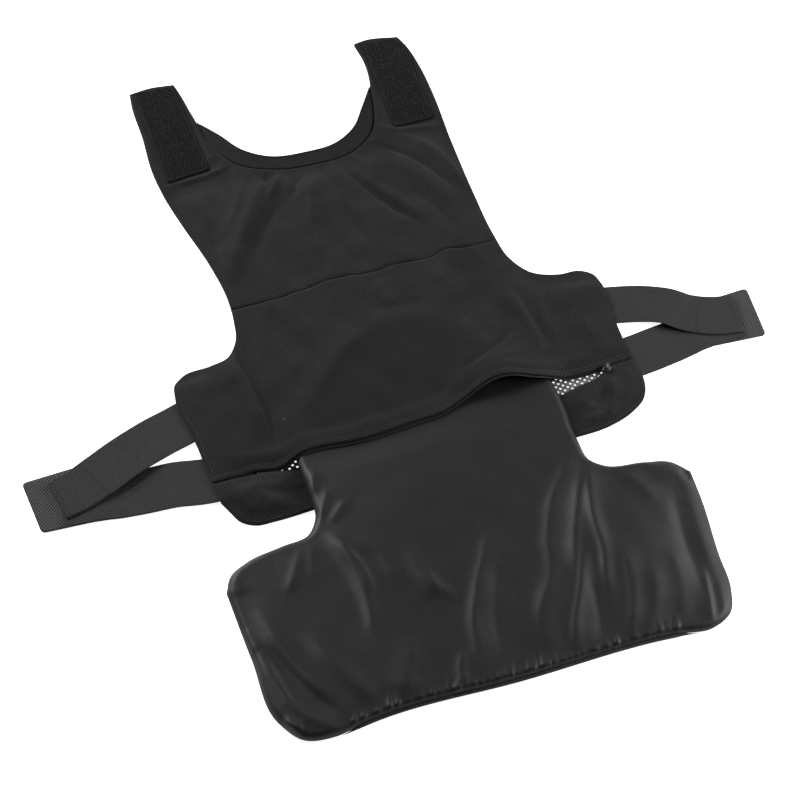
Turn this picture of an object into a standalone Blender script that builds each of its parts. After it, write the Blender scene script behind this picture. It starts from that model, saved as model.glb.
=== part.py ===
"""A soft body-armour vest, one half of it, laid flat with its armour pack half drawn out.

Blender script. The tables and lengths are in millimetres and the finished objects in metres.
+Z is up from the surface that the vest lies on, +Y runs from the hem to the shoulders and +X to the
right of the picture. Each cloth is a plan outline with two height functions, one for its underside
and one for its top. The heights are stacked, so that no cloth runs into another.
"""

import math

import bmesh
import bpy
import numpy as np
from mathutils import Vector
from mathutils.geometry import delaunay_2d_cdt

MM = 0.001

# From the centre line at the height of the slit to the middle of the whole thing, across and along
CENTRE_X, CENTRE_Y = -7.5, 83.0

# Thicknesses of the cloths and the space between two that touch
NET_CLOTH = 1.2
COVER_CLOTH = 1.3
FACING_CLOTH = 1.0
TAPE_CLOTH = 0.8
ELASTIC_CLOTH = 1.4
TAB_CLOTH = 1.4
LOOP_PILE = 2.2
STRAP_DOUBLING = 1.5
PACK_THICKNESS = 8.0
GAP = 0.4

# Spacing of the points of a cloth and of those along its edge. A point nearer to a cut is left out.
CELL = 14.6
EDGE_STEP = 12.0
CUT_CLEAR = 4.0
NET_CELL = 40.0
HIDDEN_CELL = 24.0

# Shoulder straps: they bend up between these two y, and beyond the second they are flat and slant
STRAP_BEND_START = 330.0
STRAP_BEND_END = 350.0
STRAP_SLOPE = 0.05
STRAP_STIFFNESS_START = 40.0

# Slack of the front over the empty pocket, and how far it drapes down past the edge of the pack
SLACK = 4.0
SLACK_ON_PACK = 2.2
SLACK_REACH = 34.0
DRAPE_OUT = 18.0
DRAPE_IN = 4.0

# Puff of the tail: how high it is, how soon it starts from an edge, and how far it keeps from the pack
TAIL_PUFF = 1.8
TAIL_REACH = 18.0
TAIL_CLEAR = 4.0
TAIL_BESIDE = 16.0

# The lip of the front stands open over the pack at one place
LIP_RISE = 14.0
LIP_RISE_X = 86.0
LIP_RISE_SPAN = 34.0
LIP_RISE_DEPTH = 56.0

# Zip across the front: how far its tapes stand out past the cloth, and how deep they are sewn in
TAPE_SHOWS = 2.5
TAPE_HIDDEN = 5.5
ZIP_LEFT_X, ZIP_RIGHT_X = -172.0, 193.0
ZIP_ROOM_REACH = 26.0
ZIP_ROOM_RAMP = 10.0
ZIP_ROOM_PAST = 20.0
ZIP_ROOM_END_RAMP = 16.0
UPPER_TAPE_DROP = 1.7

# Roots of the elastic straps, sewn in between the net and the front
ROOT_LIFT = 2.3
ROOT_INNER_X, ROOT_OUTER_X = 178.0, 198.0
ROOT_LOW_Y, ROOT_HIGH_Y = -76.0, 76.0
ROOT_RAMP = 14.0

# The pack lies on the floor, rises slowly over the hem and the tail, and drops onto the net inside
HEM_CLIMB_Y, HEM_TOP_Y = -250.0, -106.0
POCKET_DROP_Y, POCKET_FLOOR_Y = -40.0, -14.0
PACK_UNDER_ROWS = (-310, -250, -214, -178, -142, -106, -70, -40, -27, -14, 40)
PACK_UNDER_STEP = 40
PACK_RIM_WALL = 1.2
PACK_RIM_LIFT = 2.4
PACK_RIM_UNDER = 9.0
PACK_RIM_OVER = 17.0

# The pack has folds below this y, and they fade in over this much of it and away from its rim
FOLDS_START_Y, FOLDS_FADE, FOLDS_RIM = -58.0, 30.0, 12.0

# Cut of the neck facing: it shrinks towards this point, so its lower edge hides behind the front
FACING_CENTRE = (-14.0, 430.0)
FACING_SHRINK = 0.985
FACING_OVERLAP = 12.0

# Rolled seam along the bottom edge of the pack
SEAM_WIDTH = 5.6
SEAM_LOW, SEAM_HIGH = 0.5, 4.6
SEAM_LEFT_X, SEAM_RIGHT_X = -168.0, 150.0
SEAM_TOP_Y = -320.0
SEAM_BEVEL = 1.4

# Holes of the net, cut where the zip shows the net
HOLE_DIAMETER = 2.8
HOLE_PITCH_X, HOLE_PITCH_Y = 7.0, 4.6
HOLE_SIDES = 6
NET_WINDOWS = [  # columns: left, right, bottom, top
    (-153.0, -132.0, -50.0, -32.0),
    (137.0, 192.0, -46.0, -22.0),
]

SLIDER_X, SLIDER_Y, SLIDER_Z = 197.0, -30.5, 7.9
SLIDER_LENGTH, SLIDER_WIDTH, SLIDER_HEIGHT = 8.6, 5.6, 2.8
SLIDER_TURN = 6.0
PULL_LENGTH, PULL_WIDTH, PULL_HEIGHT = 8.0, 2.6, 1.2
PULL_SHIFT_X, PULL_SHIFT_Y, PULL_TURN = 1.5, 1.2, 75.0

CLOTH_BLACK = (0.022, 0.022, 0.023)
NET_BLACK = (0.030, 0.030, 0.031)
FACING_BLACK = (0.016, 0.016, 0.017)
PACK_GREY = (0.034, 0.034, 0.035)
SEAM_GREY = (0.028, 0.028, 0.029)
LOOP_BLACK = (0.010, 0.010, 0.010)
ELASTIC_BLACK = (0.026, 0.026, 0.027)
HOOK_GREY = (0.048, 0.048, 0.049)
ZIP_BLACK = (0.012, 0.012, 0.012)
SLIDER_BLACK = (0.014, 0.014, 0.014)
PULL_GREY = (0.30, 0.30, 0.31)

# Outlines. Columns: x, y, turn. A curve flows through a round point and breaks at a corner.
LEFT_EDGE = [
    (-126, -100, "corner"),
    (-170, -102, "round"),
    (-188, -101, "round"),
    (-202, -92, "round"),
    (-208, -80, "round"),
    (-214, -67, "corner"),
    (-217, -43, "round"),
    (-221, 10, "round"),
    (-228, 66, "round"),
    (-224, 84, "round"),
    (-213, 93, "round"),
    (-184, 97, "round"),
    (-165, 102, "round"),
    (-153, 118, "round"),
    (-147, 148, "round"),
    (-146, 180, "round"),
    (-152, 226, "round"),
    (-168, 296, "round"),
    (-176, 335, "round"),
    (-181, 378, "round"),
    (-180, 430, "round"),
    (-180, 488, "round"),
    (-177, 497, "round"),
    (-155, 498, "round"),
    (-131, 498, "round"),
    (-126, 491, "round"),
    (-119, 448, "round"),
    (-116.5, 431, "corner"),
]
RIGHT_EDGE = [
    (86.5, 427, "corner"),
    (90, 446, "round"),
    (91.5, 470, "round"),
    (88.5, 499, "corner"),
    (102, 501, "round"),
    (136, 498, "round"),
    (143, 488, "round"),
    (151, 444, "round"),
    (152.5, 400, "round"),
    (150, 330, "round"),
    (148, 240, "round"),
    (149, 178, "round"),
    (154, 142, "round"),
    (170, 116, "round"),
    (196, 105, "round"),
    (219, 103, "round"),
    (231, 94, "round"),
    (234, 76, "round"),
    (229, 22, "round"),
    (228, -32, "round"),
    (229, -52, "round"),
    (223, -70, "round"),
    (203, -85, "round"),
    (176, -94, "round"),
    (133, -97, "corner"),
]
FRONT_NECK = [
    (-116.5, 431, "corner"),
    (-111, 397, "round"),
    (-91, 361, "round"),
    (-52, 341, "round"),
    (-5, 335, "round"),
    (38, 340, "round"),
    (68, 362, "round"),
    (82, 399, "round"),
    (86.5, 427, "corner"),
]
BACK_NECK = [
    (-116, 434, "corner"),
    (-96, 408, "round"),
    (-78, 381, "round"),
    (-50, 362, "round"),
    (-10, 357, "round"),
    (24, 360, "round"),
    (50, 376, "round"),
    (68, 402, "round"),
    (86, 431, "corner"),
]
CHEST_SEAM = [
    (-147, 162, "corner"),
    (-113, 159, "round"),
    (-71, 162, "round"),
    (-30, 168, "round"),
    (8, 164, "round"),
    (35, 167, "round"),
    (68, 165, "round"),
    (94, 171, "round"),
    (116, 167, "round"),
    (149.5, 171, "corner"),
]
LIP = [
    (-217, -44, "corner"),
    (-197, -44, "round"),
    (-177, -42.5, "round"),
    (-149, -47, "round"),
    (-122, -42, "round"),
    (-65, -45, "round"),
    (-10, -41, "round"),
    (20, -38, "round"),
    (50, -27, "round"),
    (70, -21, "round"),
    (102, -20, "round"),
    (124, -24.5, "round"),
    (146, -27, "round"),
    (170, -28, "round"),
    (193, -26.8, "round"),
    (228, -24, "corner"),
]
TAIL_TOP = [
    (-217, -45, "corner"),
    (-178, -45.5, "round"),
    (-143, -51, "round"),
    (-110, -55, "round"),
    (60, -54, "round"),
    (144, -46, "round"),
    (168, -40, "round"),
    (184, -37, "round"),
    (192, -33, "round"),
    (199, -28.5, "round"),
    (228, -25, "corner"),
]
PACK_OUTLINE = [
    (-132, -30, "round"),
    (-127, 0, "round"),
    (-97, 30, "round"),
    (-58, 70, "round"),
    (-18, 92, "round"),
    (18, 96, "round"),
    (50, 84, "round"),
    (84, 44, "round"),
    (118, 14, "round"),
    (135, -14, "round"),
    (139, -50, "round"),
    (137, -104, "round"),
    (140, -130, "round"),
    (151, -140, "round"),
    (190, -148, "round"),
    (214, -155, "round"),
    (229, -171, "corner"),
    (227, -205, "round"),
    (219, -262, "round"),
    (214, -304, "round"),
    (205, -324, "round"),
    (182, -335, "round"),
    (150, -331, "round"),
    (0, -330, "round"),
    (-150, -330, "round"),
    (-178, -335, "round"),
    (-205, -330, "round"),
    (-222, -308, "round"),
    (-229, -240, "round"),
    (-234, -168, "corner"),
    (-226, -152, "round"),
    (-208, -142, "round"),
    (-172, -135, "round"),
    (-144, -130, "round"),
    (-134, -116, "round"),
    (-132, -80, "round"),
]

# Folds. Columns: x and y where it starts and ends, width, height, and how far its middle bows
COVER_FOLDS = [
    (-78, 344, -118, 206, 15, 5.5, 4),
    (-62, 338, -80, 280, 13, -2.6, 0),
    (-38, 330, -50, 190, 16, 4.0, 4),
    (8, 324, 8, 256, 14, -2.4, 0),
    (26, 326, -2, 196, 16, 3.4, 4),
    (30, 330, 96, 252, 13, -2.6, -3),
    (46, 338, 118, 262, 14, 4.6, -4),
    (66, 352, 130, 274, 13, -2.4, -3),
    (82, 366, 140, 292, 13, 4.4, -3),
    (50, 292, 66, 190, 20, 2.4, 0),
    (-60, 150, 0, 144, 24, 2.6, 0),
    (60, 140, 118, 128, 22, 2.6, 0),
    (-146, 120, -148, -16, 11, -3.0, 0),
    (-134, 100, -134, 10, 13, 3.4, 0),
    (143, 100, 149, 8, 11, -3.0, 0),
    (134, 100, 136, 8, 13, 4.4, 0),
    (136, 50, 44, -4, 13, 4.2, 4),
    (112, 8, 72, -14, 12, 2.6, 0),
]
TAIL_FOLDS = [
    (-190, -60, -154, -92, 12, 3.8, 2),
    (-206, -64, -176, -86, 11, 2.0, 0),
    (194, -48, 182, -84, 12, 2.6, 2),
    (152, -80, 192, -86, 11, 1.8, 0),
]
PACK_FOLDS = [
    (-130, -122, -84, -226, 13, 2.6, -6),
    (-122, -124, -40, -206, 15, 1.6, -8),
    (-222, -190, -166, -322, 14, 3.2, -10),
    (-196, -156, -178, -250, 20, 1.4, 0),
    (132, -84, 70, -318, 15, 3.2, 8),
    (137, -132, 126, -236, 13, 3.2, -4),
    (112, -196, 98, -320, 12, 2.6, 5),
    (168, -214, 152, -320, 14, 2.6, 6),
    (198, -226, 184, -320, 13, 1.8, 3),
    (24, -214, 4, -320, 14, 1.6, 7),
]

# Elastic straps. Columns: x, y, height of the underside, width
LEFT_UPPER_ELASTIC = [
    (-210, 41, 1.6, 51),
    (-228, 35, 1.6, 51),
    (-256, 25, 3.4, 51),
    (-290, 11, 5.0, 50),
    (-318, -2, 4.6, 50),
    (-343, -13, 3.8, 49),
    (-364, -18, 3.8, 48),
]
LEFT_LOWER_ELASTIC = [
    (-205, -39, 1.6, 53),
    (-222, -38, 1.6, 53),
    (-250, -33, 0.9, 53),
    (-286, -31, 0.4, 52),
    (-306, -29, 0.7, 52),
    (-319, -28, 1.8, 51),
    (-362, -25, 1.8, 49),
]
RIGHT_UPPER_ELASTIC = [
    (216, 52, 1.6, 49),
    (234, 49, 1.6, 49),
    (262, 40, 3.6, 49),
    (286, 27, 6.4, 48),
    (303, 15, 4.2, 49),
    (328, 3, 3.7, 50),
    (354, -2, 3.7, 49),
]
RIGHT_LOWER_ELASTIC = [
    (212, -23, 1.6, 51),
    (229, -21, 1.6, 51),
    (258, -17, 0.9, 51),
    (282, -13, 0.4, 50),
    (298, -10, 1.8, 50),
    (326, -7, 1.8, 50),
    (351, -5, 1.8, 49),
]

# Corners of the hook tabs and of the loop patches. Columns: x, y
LEFT_TAB = [(-321, 18), (-322, -51), (-385, -48), (-393, 14)]
RIGHT_TAB = [(300, -31), (303, 24), (378, 29), (372, -35)]
LEFT_PATCH = [(-176.5, 495), (-129.5, 493.5), (-119, 359), (-168.5, 353)]
RIGHT_PATCH = [(94, 360), (95.5, 495.5), (138, 492.5), (143.5, 474), (142, 361)]
PATCH_CORNER = 4.0
TAB_CORNER = 5.0


def clear_scene():
    for old in list(bpy.data.objects):
        bpy.data.objects.remove(old)


def plain(name, colour, roughness, metallic=0.0):
    """A material of one colour."""
    made = bpy.data.materials.new(name)
    made.use_nodes = True
    shader = made.node_tree.nodes["Principled BSDF"]
    shader.inputs["Base Color"].default_value = (*colour, 1.0)
    shader.inputs["Roughness"].default_value = roughness
    shader.inputs["Metallic"].default_value = metallic
    return made


def ease(t):
    """0 up to t = 0, 1 from t = 1, and an S between."""
    t = np.clip(t, 0.0, 1.0)
    return t * t * (3.0 - 2.0 * t)


def flowing(knots, corner, step, closed=False):
    """Points about step apart on a curve through the knots; x and y are the first two columns."""
    knots, corner = np.array(knots, float), np.array(corner)
    before, after = np.roll(knots, 1, axis=0), np.roll(knots, -1, axis=0)
    if not closed:
        corner[[0, -1]] = True
    reach_in = np.linalg.norm((knots - before)[:, :2], axis=1)[:, None]
    reach_out = np.linalg.norm((after - knots)[:, :2], axis=1)[:, None]
    slope_in, slope_out = (knots - before) / reach_in, (after - knots) / reach_out
    tangent = (slope_in * reach_out + slope_out * reach_in) / (reach_in + reach_out)
    points = []
    for i in range(len(knots) if closed else len(knots) - 1):
        j = (i + 1) % len(knots)
        chord = knots[j] - knots[i]
        length = np.linalg.norm(chord[:2])
        leave = chord if corner[i] else tangent[i] * length
        arrive = chord if corner[j] else tangent[j] * length
        t = np.linspace(0.0, 1.0, max(1, round(length / step)) + 1)[:-1, None]
        points.append(
            (2 * t**3 - 3 * t**2 + 1) * knots[i]
            + (t**3 - 2 * t**2 + t) * leave
            + (3 * t**2 - 2 * t**3) * knots[j]
            + (t**3 - t**2) * arrive
        )
    if not closed:
        points.append(knots[-1:])
    return np.concatenate(points)


def outline(rows, closed=False):
    """The curve of an outline table."""
    corner = [row[2] == "corner" for row in rows]
    return flowing([row[:2] for row in rows], corner, EDGE_STEP, closed)


def split(curve, y):
    """The parts of a curve before and after it passes y, each with a new point there."""
    heights = curve[:, 1]
    i = np.flatnonzero((heights[:-1] - y) * (heights[1:] - y) <= 0)[-1]
    share = (y - heights[i]) / (heights[i + 1] - heights[i])
    cut = curve[i] + share * (curve[i + 1] - curve[i])
    clear = np.linalg.norm(curve - cut, axis=1) > CUT_CLEAR
    before, after = curve[: i + 1][clear[: i + 1]], curve[i + 1 :][clear[i + 1 :]]
    return np.concatenate([before, [cut]]), np.concatenate([[cut], after])


def rounded(corners, radius):
    """A closed outline through the corners, each cut back to an arc of about this radius."""
    spots = np.array(corners, float)
    t = np.linspace(0.0, 1.0, 4)[:, None]
    points = []
    for i, spot in enumerate(spots):
        back = spots[i - 1] - spot
        ahead = spots[(i + 1) % len(spots)] - spot
        start = spot + back / np.linalg.norm(back) * radius
        end = spot + ahead / np.linalg.norm(ahead) * radius
        points.append((1 - t) ** 2 * start + 2 * t * (1 - t) * spot + t**2 * end)
    return np.concatenate(points)


def depth_inside(curve, x, y):
    """Distance to a closed outline, positive inside it and negative outside."""
    spots = np.stack([np.ravel(x), np.ravel(y)], axis=1)[:, None, :]
    a, b = curve[None], np.roll(curve, -1, axis=0)[None]
    run = b - a
    share = np.clip(((spots - a) * run).sum(2) / (run * run).sum(2), 0.0, 1.0)
    far = np.linalg.norm(spots - a - share[..., None] * run, axis=2).min(axis=1)
    spans = (a[..., 1] > spots[..., 1]) != (b[..., 1] > spots[..., 1])
    rise = np.where(run[..., 1] == 0, 1.0, run[..., 1])
    cross = a[..., 0] + run[..., 0] * (spots[..., 1] - a[..., 1]) / rise
    inside = (spans & (spots[..., 0] < cross)).sum(axis=1) % 2 == 1
    return np.where(inside, far, -far).reshape(np.shape(x))


def offset(curve, distance):
    """The points of a closed outline moved inwards, but for those that come too near its far side."""
    run = np.roll(curve, -1, axis=0) - np.roll(curve, 1, axis=0)
    inward = np.stack([-run[:, 1], run[:, 0]], axis=1) / np.linalg.norm(run, axis=1)[:, None]
    if depth_inside(curve, *(curve + inward).T).mean() < 0:
        inward = -inward
    moved = curve + distance * inward
    return moved[depth_inside(curve, *moved.T) > 0.85 * distance]


def folds(rows, x, y):
    """Sum of ridges: each rises and falls along its own line and has a round crest across it."""
    height = np.zeros(np.shape(x))
    for x0, y0, x1, y1, width, rise, bow in rows:
        run = np.array([x1 - x0, y1 - y0], float)
        length = np.linalg.norm(run)
        run /= length
        along = ((x - x0) * run[0] + (y - y0) * run[1]) / length
        across = (x - x0) * -run[1] + (y - y0) * run[0] - bow * np.sin(np.pi * np.clip(along, 0, 1))
        taper = ease(along * 4.0 + 0.5) * ease((1.0 - along) * 2.5 + 0.4)
        height += rise * taper * np.exp(-2.0 * (across / width) ** 2)
    return height


LEFT_CURVE = outline(LEFT_EDGE)
RIGHT_CURVE = outline(RIGHT_EDGE)
FRONT_NECK_CURVE = outline(FRONT_NECK)
BACK_NECK_CURVE = outline(BACK_NECK)
SEAM_CURVE = outline(CHEST_SEAM)
LIP_CURVE = outline(LIP)
TAIL_CURVE = outline(TAIL_TOP)
PACK_CURVE = outline(PACK_OUTLINE, closed=True)
WHOLE_FRONT = np.concatenate([LEFT_CURVE[:-1], FRONT_NECK_CURVE[:-1], RIGHT_CURVE])


def height_of(curve, x):
    """The y of a curve that runs from left to right, at each x."""
    return np.interp(x, curve[:, 0], curve[:, 1])


def ground(x, y):
    """Height of the vest's underside: flat, and slanting up under the shoulder straps."""
    bend = STRAP_BEND_END - STRAP_BEND_START
    into = np.clip(y - STRAP_BEND_START, 0.0, bend)
    return STRAP_SLOPE * (into**2 / (2.0 * bend) + np.maximum(y - STRAP_BEND_END, 0.0)) + 0.0 * x


def on_net(x, y):
    return ground(x, y) + NET_CLOTH + GAP


def root_lift(x, y):
    """How much the front stands up over the roots of the elastic straps."""
    out = ease((np.abs(x) - ROOT_INNER_X) / (ROOT_OUTER_X - ROOT_INNER_X))
    low = ease((y - ROOT_LOW_Y) / ROOT_RAMP)
    high = ease((ROOT_HIGH_Y + ROOT_RAMP - y) / ROOT_RAMP)
    return ROOT_LIFT * out * low * high


def zip_room(curve, x, y):
    """How much a cloth stands up along its edge to make room for the zip tape under it."""
    near = ease((ZIP_ROOM_REACH - np.abs(y - height_of(curve, x))) / ZIP_ROOM_RAMP)
    middle, half = (ZIP_LEFT_X + ZIP_RIGHT_X) / 2, (ZIP_RIGHT_X - ZIP_LEFT_X) / 2
    ends = ease((half + ZIP_ROOM_PAST - np.abs(x - middle)) / ZIP_ROOM_END_RAMP)
    return (TAPE_CLOTH + 1.5 * GAP) * near * ends


def pack_rest(y):
    """What the pack lies on: the floor, then the tail of the front, then the net in the pocket."""
    tail = NET_CLOTH + TAPE_CLOTH + COVER_CLOTH + 4 * GAP
    pocket = NET_CLOTH + GAP
    over_hem = ease((y - HEM_CLIMB_Y) / (HEM_TOP_Y - HEM_CLIMB_Y))
    dropped = ease((y - POCKET_DROP_Y) / (POCKET_FLOOR_Y - POCKET_DROP_Y))
    return over_hem * (tail + (pocket - tail) * dropped)


def pack_under(x, y):
    depth = depth_inside(PACK_CURVE, x, y)
    return pack_rest(y) + PACK_RIM_LIFT * (1.0 - ease(depth / PACK_RIM_UNDER))


def pack_over(x, y):
    """Top of the pack: an even thickness, rounded down at the rim, and folded where it shows."""
    depth = np.maximum(depth_inside(PACK_CURVE, x, y), 0.0)
    rim = np.sqrt(1.0 - (1.0 - np.clip(depth / PACK_RIM_OVER, 0.0, 1.0)) ** 2)
    edge = PACK_RIM_LIFT + PACK_RIM_WALL
    shown = ease((FOLDS_START_Y - y) / FOLDS_FADE) * ease(depth / FOLDS_RIM)
    return pack_rest(y) + edge + (PACK_THICKNESS - edge) * rim + shown * folds(PACK_FOLDS, x, y)


def cover_under(x, y):
    """Underside of the front: on the net at its edges, slack inside and draped over the pack."""
    inner = ease(np.maximum(depth_inside(WHOLE_FRONT, x, y), 0.0) / SLACK_REACH)
    inner = inner * ease((STRAP_BEND_END - y) / STRAP_STIFFNESS_START)
    over_pack = ease((depth_inside(PACK_CURVE, x, y) + DRAPE_OUT) / (DRAPE_OUT + DRAPE_IN))
    slack = SLACK + (SLACK_ON_PACK - SLACK) * over_pack
    loose = np.maximum(inner * (slack + folds(COVER_FOLDS, x, y)), 0.0)
    bulge = over_pack * (pack_rest(y) - NET_CLOTH - GAP + PACK_THICKNESS + GAP)
    lip = np.exp(-(((x - LIP_RISE_X) / LIP_RISE_SPAN) ** 2))
    lip = lip * ease(1.0 - (y - height_of(LIP_CURVE, x)) / LIP_RISE_DEPTH)
    room = np.maximum(zip_room(LIP_CURVE, x, y), root_lift(x, y))
    return on_net(x, y) + room + loose + np.maximum(bulge, 0.0) + LIP_RISE * lip


def cover_over(x, y):
    doubling = STRAP_DOUBLING * ease((y - STRAP_BEND_START) / (STRAP_BEND_END - STRAP_BEND_START))
    return cover_under(x, y) + COVER_CLOTH + doubling


def tail_under(x, y):
    """Underside of the tail of the front: on the net, and puffed out beside the pack."""
    inner = ease(np.maximum(depth_inside(WHOLE_FRONT, x, y), 0.0) / TAIL_REACH)
    beside = ease((-depth_inside(PACK_CURVE, x, y) - TAIL_CLEAR) / TAIL_BESIDE)
    below = ease((height_of(TAIL_CURVE, x) - y) / TAIL_REACH)
    puff = inner * beside * below * (TAIL_PUFF + folds(TAIL_FOLDS, x, y))
    return on_net(x, y) + np.maximum(zip_room(TAIL_CURVE, x, y), root_lift(x, y)) + puff


def patch_under(x, y):
    return on_net(x, y) + COVER_CLOTH + STRAP_DOUBLING + GAP


def raised(under, thickness):
    return lambda x, y: under(x, y) + thickness


def lattice(curve, cell=CELL):
    """Points of a lattice of equal triangles that lie well inside the outline."""
    low, high = curve.min(axis=0), curve.max(axis=0)
    pitch = cell * math.sqrt(3.0) / 2.0
    row, column = np.meshgrid(
        np.arange(math.floor(low[1] / pitch), math.ceil(high[1] / pitch) + 1),
        np.arange(math.floor(low[0] / cell) - 1, math.ceil(high[0] / cell) + 2),
    )
    x, y = (column + 0.5 * (row % 2)) * cell, row * pitch
    kept = depth_inside(curve, x, y) > 0.5 * cell
    return np.stack([x[kept], y[kept]], axis=1)


def triangles_of(rings, inner):
    """Points and triangles of the plan between the rings, the first outside and the rest holes."""
    points = np.concatenate([*rings, inner]) if len(inner) else np.concatenate(rings)
    loops, start = [], 0
    for ring in rings:
        loops.append(list(range(start, start + len(ring))))
        start += len(ring)
    edges = [(a, b) for loop in loops for a, b in zip(loop, loop[1:] + loop[:1])]
    plan = delaunay_2d_cdt([Vector(p) for p in points], edges, [], 1, 1e-5)
    hole_of = {i: number for number, loop in enumerate(loops[1:]) for i in loop}
    kept = [f for f in plan[2] if len({hole_of.get(i, -1 - i) for i in f}) > 1]
    return np.array([tuple(v) for v in plan[0]]), kept, loops


def finished(name, points, faces, material):
    """An object of these points, in millimetres, and faces, with every face turned outwards."""
    placed = (np.asarray(points, float) - (CENTRE_X, CENTRE_Y, 0.0)) * MM
    mesh = bpy.data.meshes.new(name)
    mesh.from_pydata(placed.tolist(), [], faces)
    shape = bmesh.new()
    shape.from_mesh(mesh)
    bmesh.ops.triangulate(shape, faces=shape.faces[:])
    bmesh.ops.recalc_face_normals(shape, faces=shape.faces[:])
    shape.to_mesh(mesh)
    shape.free()
    mesh.materials.append(material)
    made = bpy.data.objects.new(name, mesh)
    bpy.context.scene.collection.objects.link(made)
    mesh.shade_smooth()
    mesh.set_sharp_from_angle(angle=math.radians(40))
    return made


def sheet(name, rings, under, over, material, inner_under=(), inner_over=()):
    """A cloth with these plan outlines, from the height under(x, y) up to over(x, y)."""
    low, low_faces, loops = triangles_of(rings, inner_under)
    high, high_faces, _ = triangles_of(rings, inner_over)
    lower = np.column_stack([low, under(*low.T)])
    upper = np.column_stack([high, over(*high.T)])
    lift = len(lower)
    faces = [tuple(reversed(f)) for f in low_faces]
    faces += [tuple(i + lift for i in f) for f in high_faces]
    for loop in loops:
        faces += [(a, b, b + lift, a + lift) for a, b in zip(loop, loop[1:] + loop[:1])]
    return finished(name, np.concatenate([lower, upper]), faces, material)


def filled_sheet(name, curve, under, over, material):
    inner = lattice(curve)
    return sheet(name, [curve], under, over, material, inner, inner)


def net_holes():
    """Small round holes in staggered rows, in the parts of the net that the zip shows."""
    turn = np.arange(HOLE_SIDES) * 2.0 * math.pi / HOLE_SIDES
    ring = np.stack([np.cos(turn), np.sin(turn)], axis=1) * HOLE_DIAMETER / 2.0
    holes = []
    for left, right, bottom, top in NET_WINDOWS:
        for row, y in enumerate(np.arange(bottom, top, HOLE_PITCH_Y)):
            for x in np.arange(left + (row % 2) * HOLE_PITCH_X / 2.0, right, HOLE_PITCH_X):
                holes.append(ring + (x, y))
    return holes


def back_net(material):
    edge = np.concatenate([LEFT_CURVE[:-1], BACK_NECK_CURVE[1:-1], RIGHT_CURVE[1:]])
    middle = (STRAP_BEND_START + STRAP_BEND_END) / 2
    across = np.arange(LEFT_CURVE[:, 0].min(), RIGHT_CURVE[:, 0].max(), NET_CELL / 2)
    bend = [(x, y) for y in (STRAP_BEND_START, middle, STRAP_BEND_END) for x in across]
    bend = np.array(bend, float)
    holes_y = (NET_WINDOWS[0][2] + NET_WINDOWS[0][3]) / 2
    far = lattice(edge, NET_CELL)
    clear = np.minimum(np.abs(far[:, 1] - middle), np.abs(far[:, 1] - holes_y)) > NET_CELL / 2
    inner = np.concatenate([far[clear], bend[depth_inside(edge, *bend.T) > CUT_CLEAR]])
    sheet("back_net", [edge, *net_holes()], ground, raised(ground, NET_CLOTH), material, inner, inner)


def neck_facing(material):
    """The crescent that shows between the front and the top edge of the net."""
    middle = np.array(FACING_CENTRE)
    lower = middle + (FRONT_NECK_CURVE[2:-2] - middle) * FACING_SHRINK
    left, top = BACK_NECK_CURVE[:, 0] < 0, BACK_NECK_CURVE[:, 1] - FACING_OVERLAP
    ends = (left & (top < lower[0, 1])) | (~left & (top < lower[-1, 1]))
    curve = np.concatenate([lower, BACK_NECK_CURVE[ends][::-1]])
    sheet("neck_facing", [curve], on_net, raised(on_net, FACING_CLOTH), material)


def front_yoke(material):
    seam = SEAM_CURVE + (0.0, GAP / 2)
    left, right = split(LEFT_CURVE, seam[0, 1])[1], split(RIGHT_CURVE, seam[-1, 1])[0]
    curve = np.concatenate([seam[-2:0:-1], left, FRONT_NECK_CURVE[1:-1], right])
    filled_sheet("front_yoke", curve, cover_under, cover_over, material)


def front_cover(material):
    seam, lip = SEAM_CURVE - (0.0, GAP / 2), LIP_CURVE + (0.0, GAP / 2)
    left = split(split(LEFT_CURVE, seam[0, 1])[0], lip[0, 1])[1]
    right = split(split(RIGHT_CURVE, seam[-1, 1])[1], lip[-1, 1])[0]
    curve = np.concatenate([lip[-2:0:-1], left, seam[1:-1], right])
    filled_sheet("front_cover", curve, cover_under, cover_over, material)


def front_tail(material):
    top = TAIL_CURVE - (0.0, GAP / 2)
    left, right = split(LEFT_CURVE, top[0, 1])[0], split(RIGHT_CURVE, top[-1, 1])[1]
    curve = np.concatenate([left, top[1:-1], right])
    filled_sheet("front_tail", curve, tail_under, raised(tail_under, COVER_CLOTH), material)


def zip_tapes(material):
    """Two tapes: one on the net under the tail's edge, the other under the lip of the front."""
    for name, curve, side in [("zip_tape_lower", TAIL_CURVE, 1), ("zip_tape_upper", LIP_CURVE, -1)]:
        inside = (curve[:, 0] > ZIP_LEFT_X) & (curve[:, 0] < ZIP_RIGHT_X)
        x = np.concatenate([[ZIP_LEFT_X], curve[inside, 0], [ZIP_RIGHT_X]])
        y = height_of(curve, x)
        shown = np.stack([x, y + side * TAPE_SHOWS], axis=1)
        hidden = np.stack([x, y - side * TAPE_HIDDEN], axis=1)
        ring = np.concatenate([shown, hidden[::-1]])
        if side > 0:
            sheet(name, [ring], on_net, raised(on_net, TAPE_CLOTH), material)
        else:
            under = raised(cover_under, -UPPER_TAPE_DROP - TAPE_CLOTH)
            sheet(name, [ring], under, raised(cover_under, -UPPER_TAPE_DROP), material)


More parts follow.
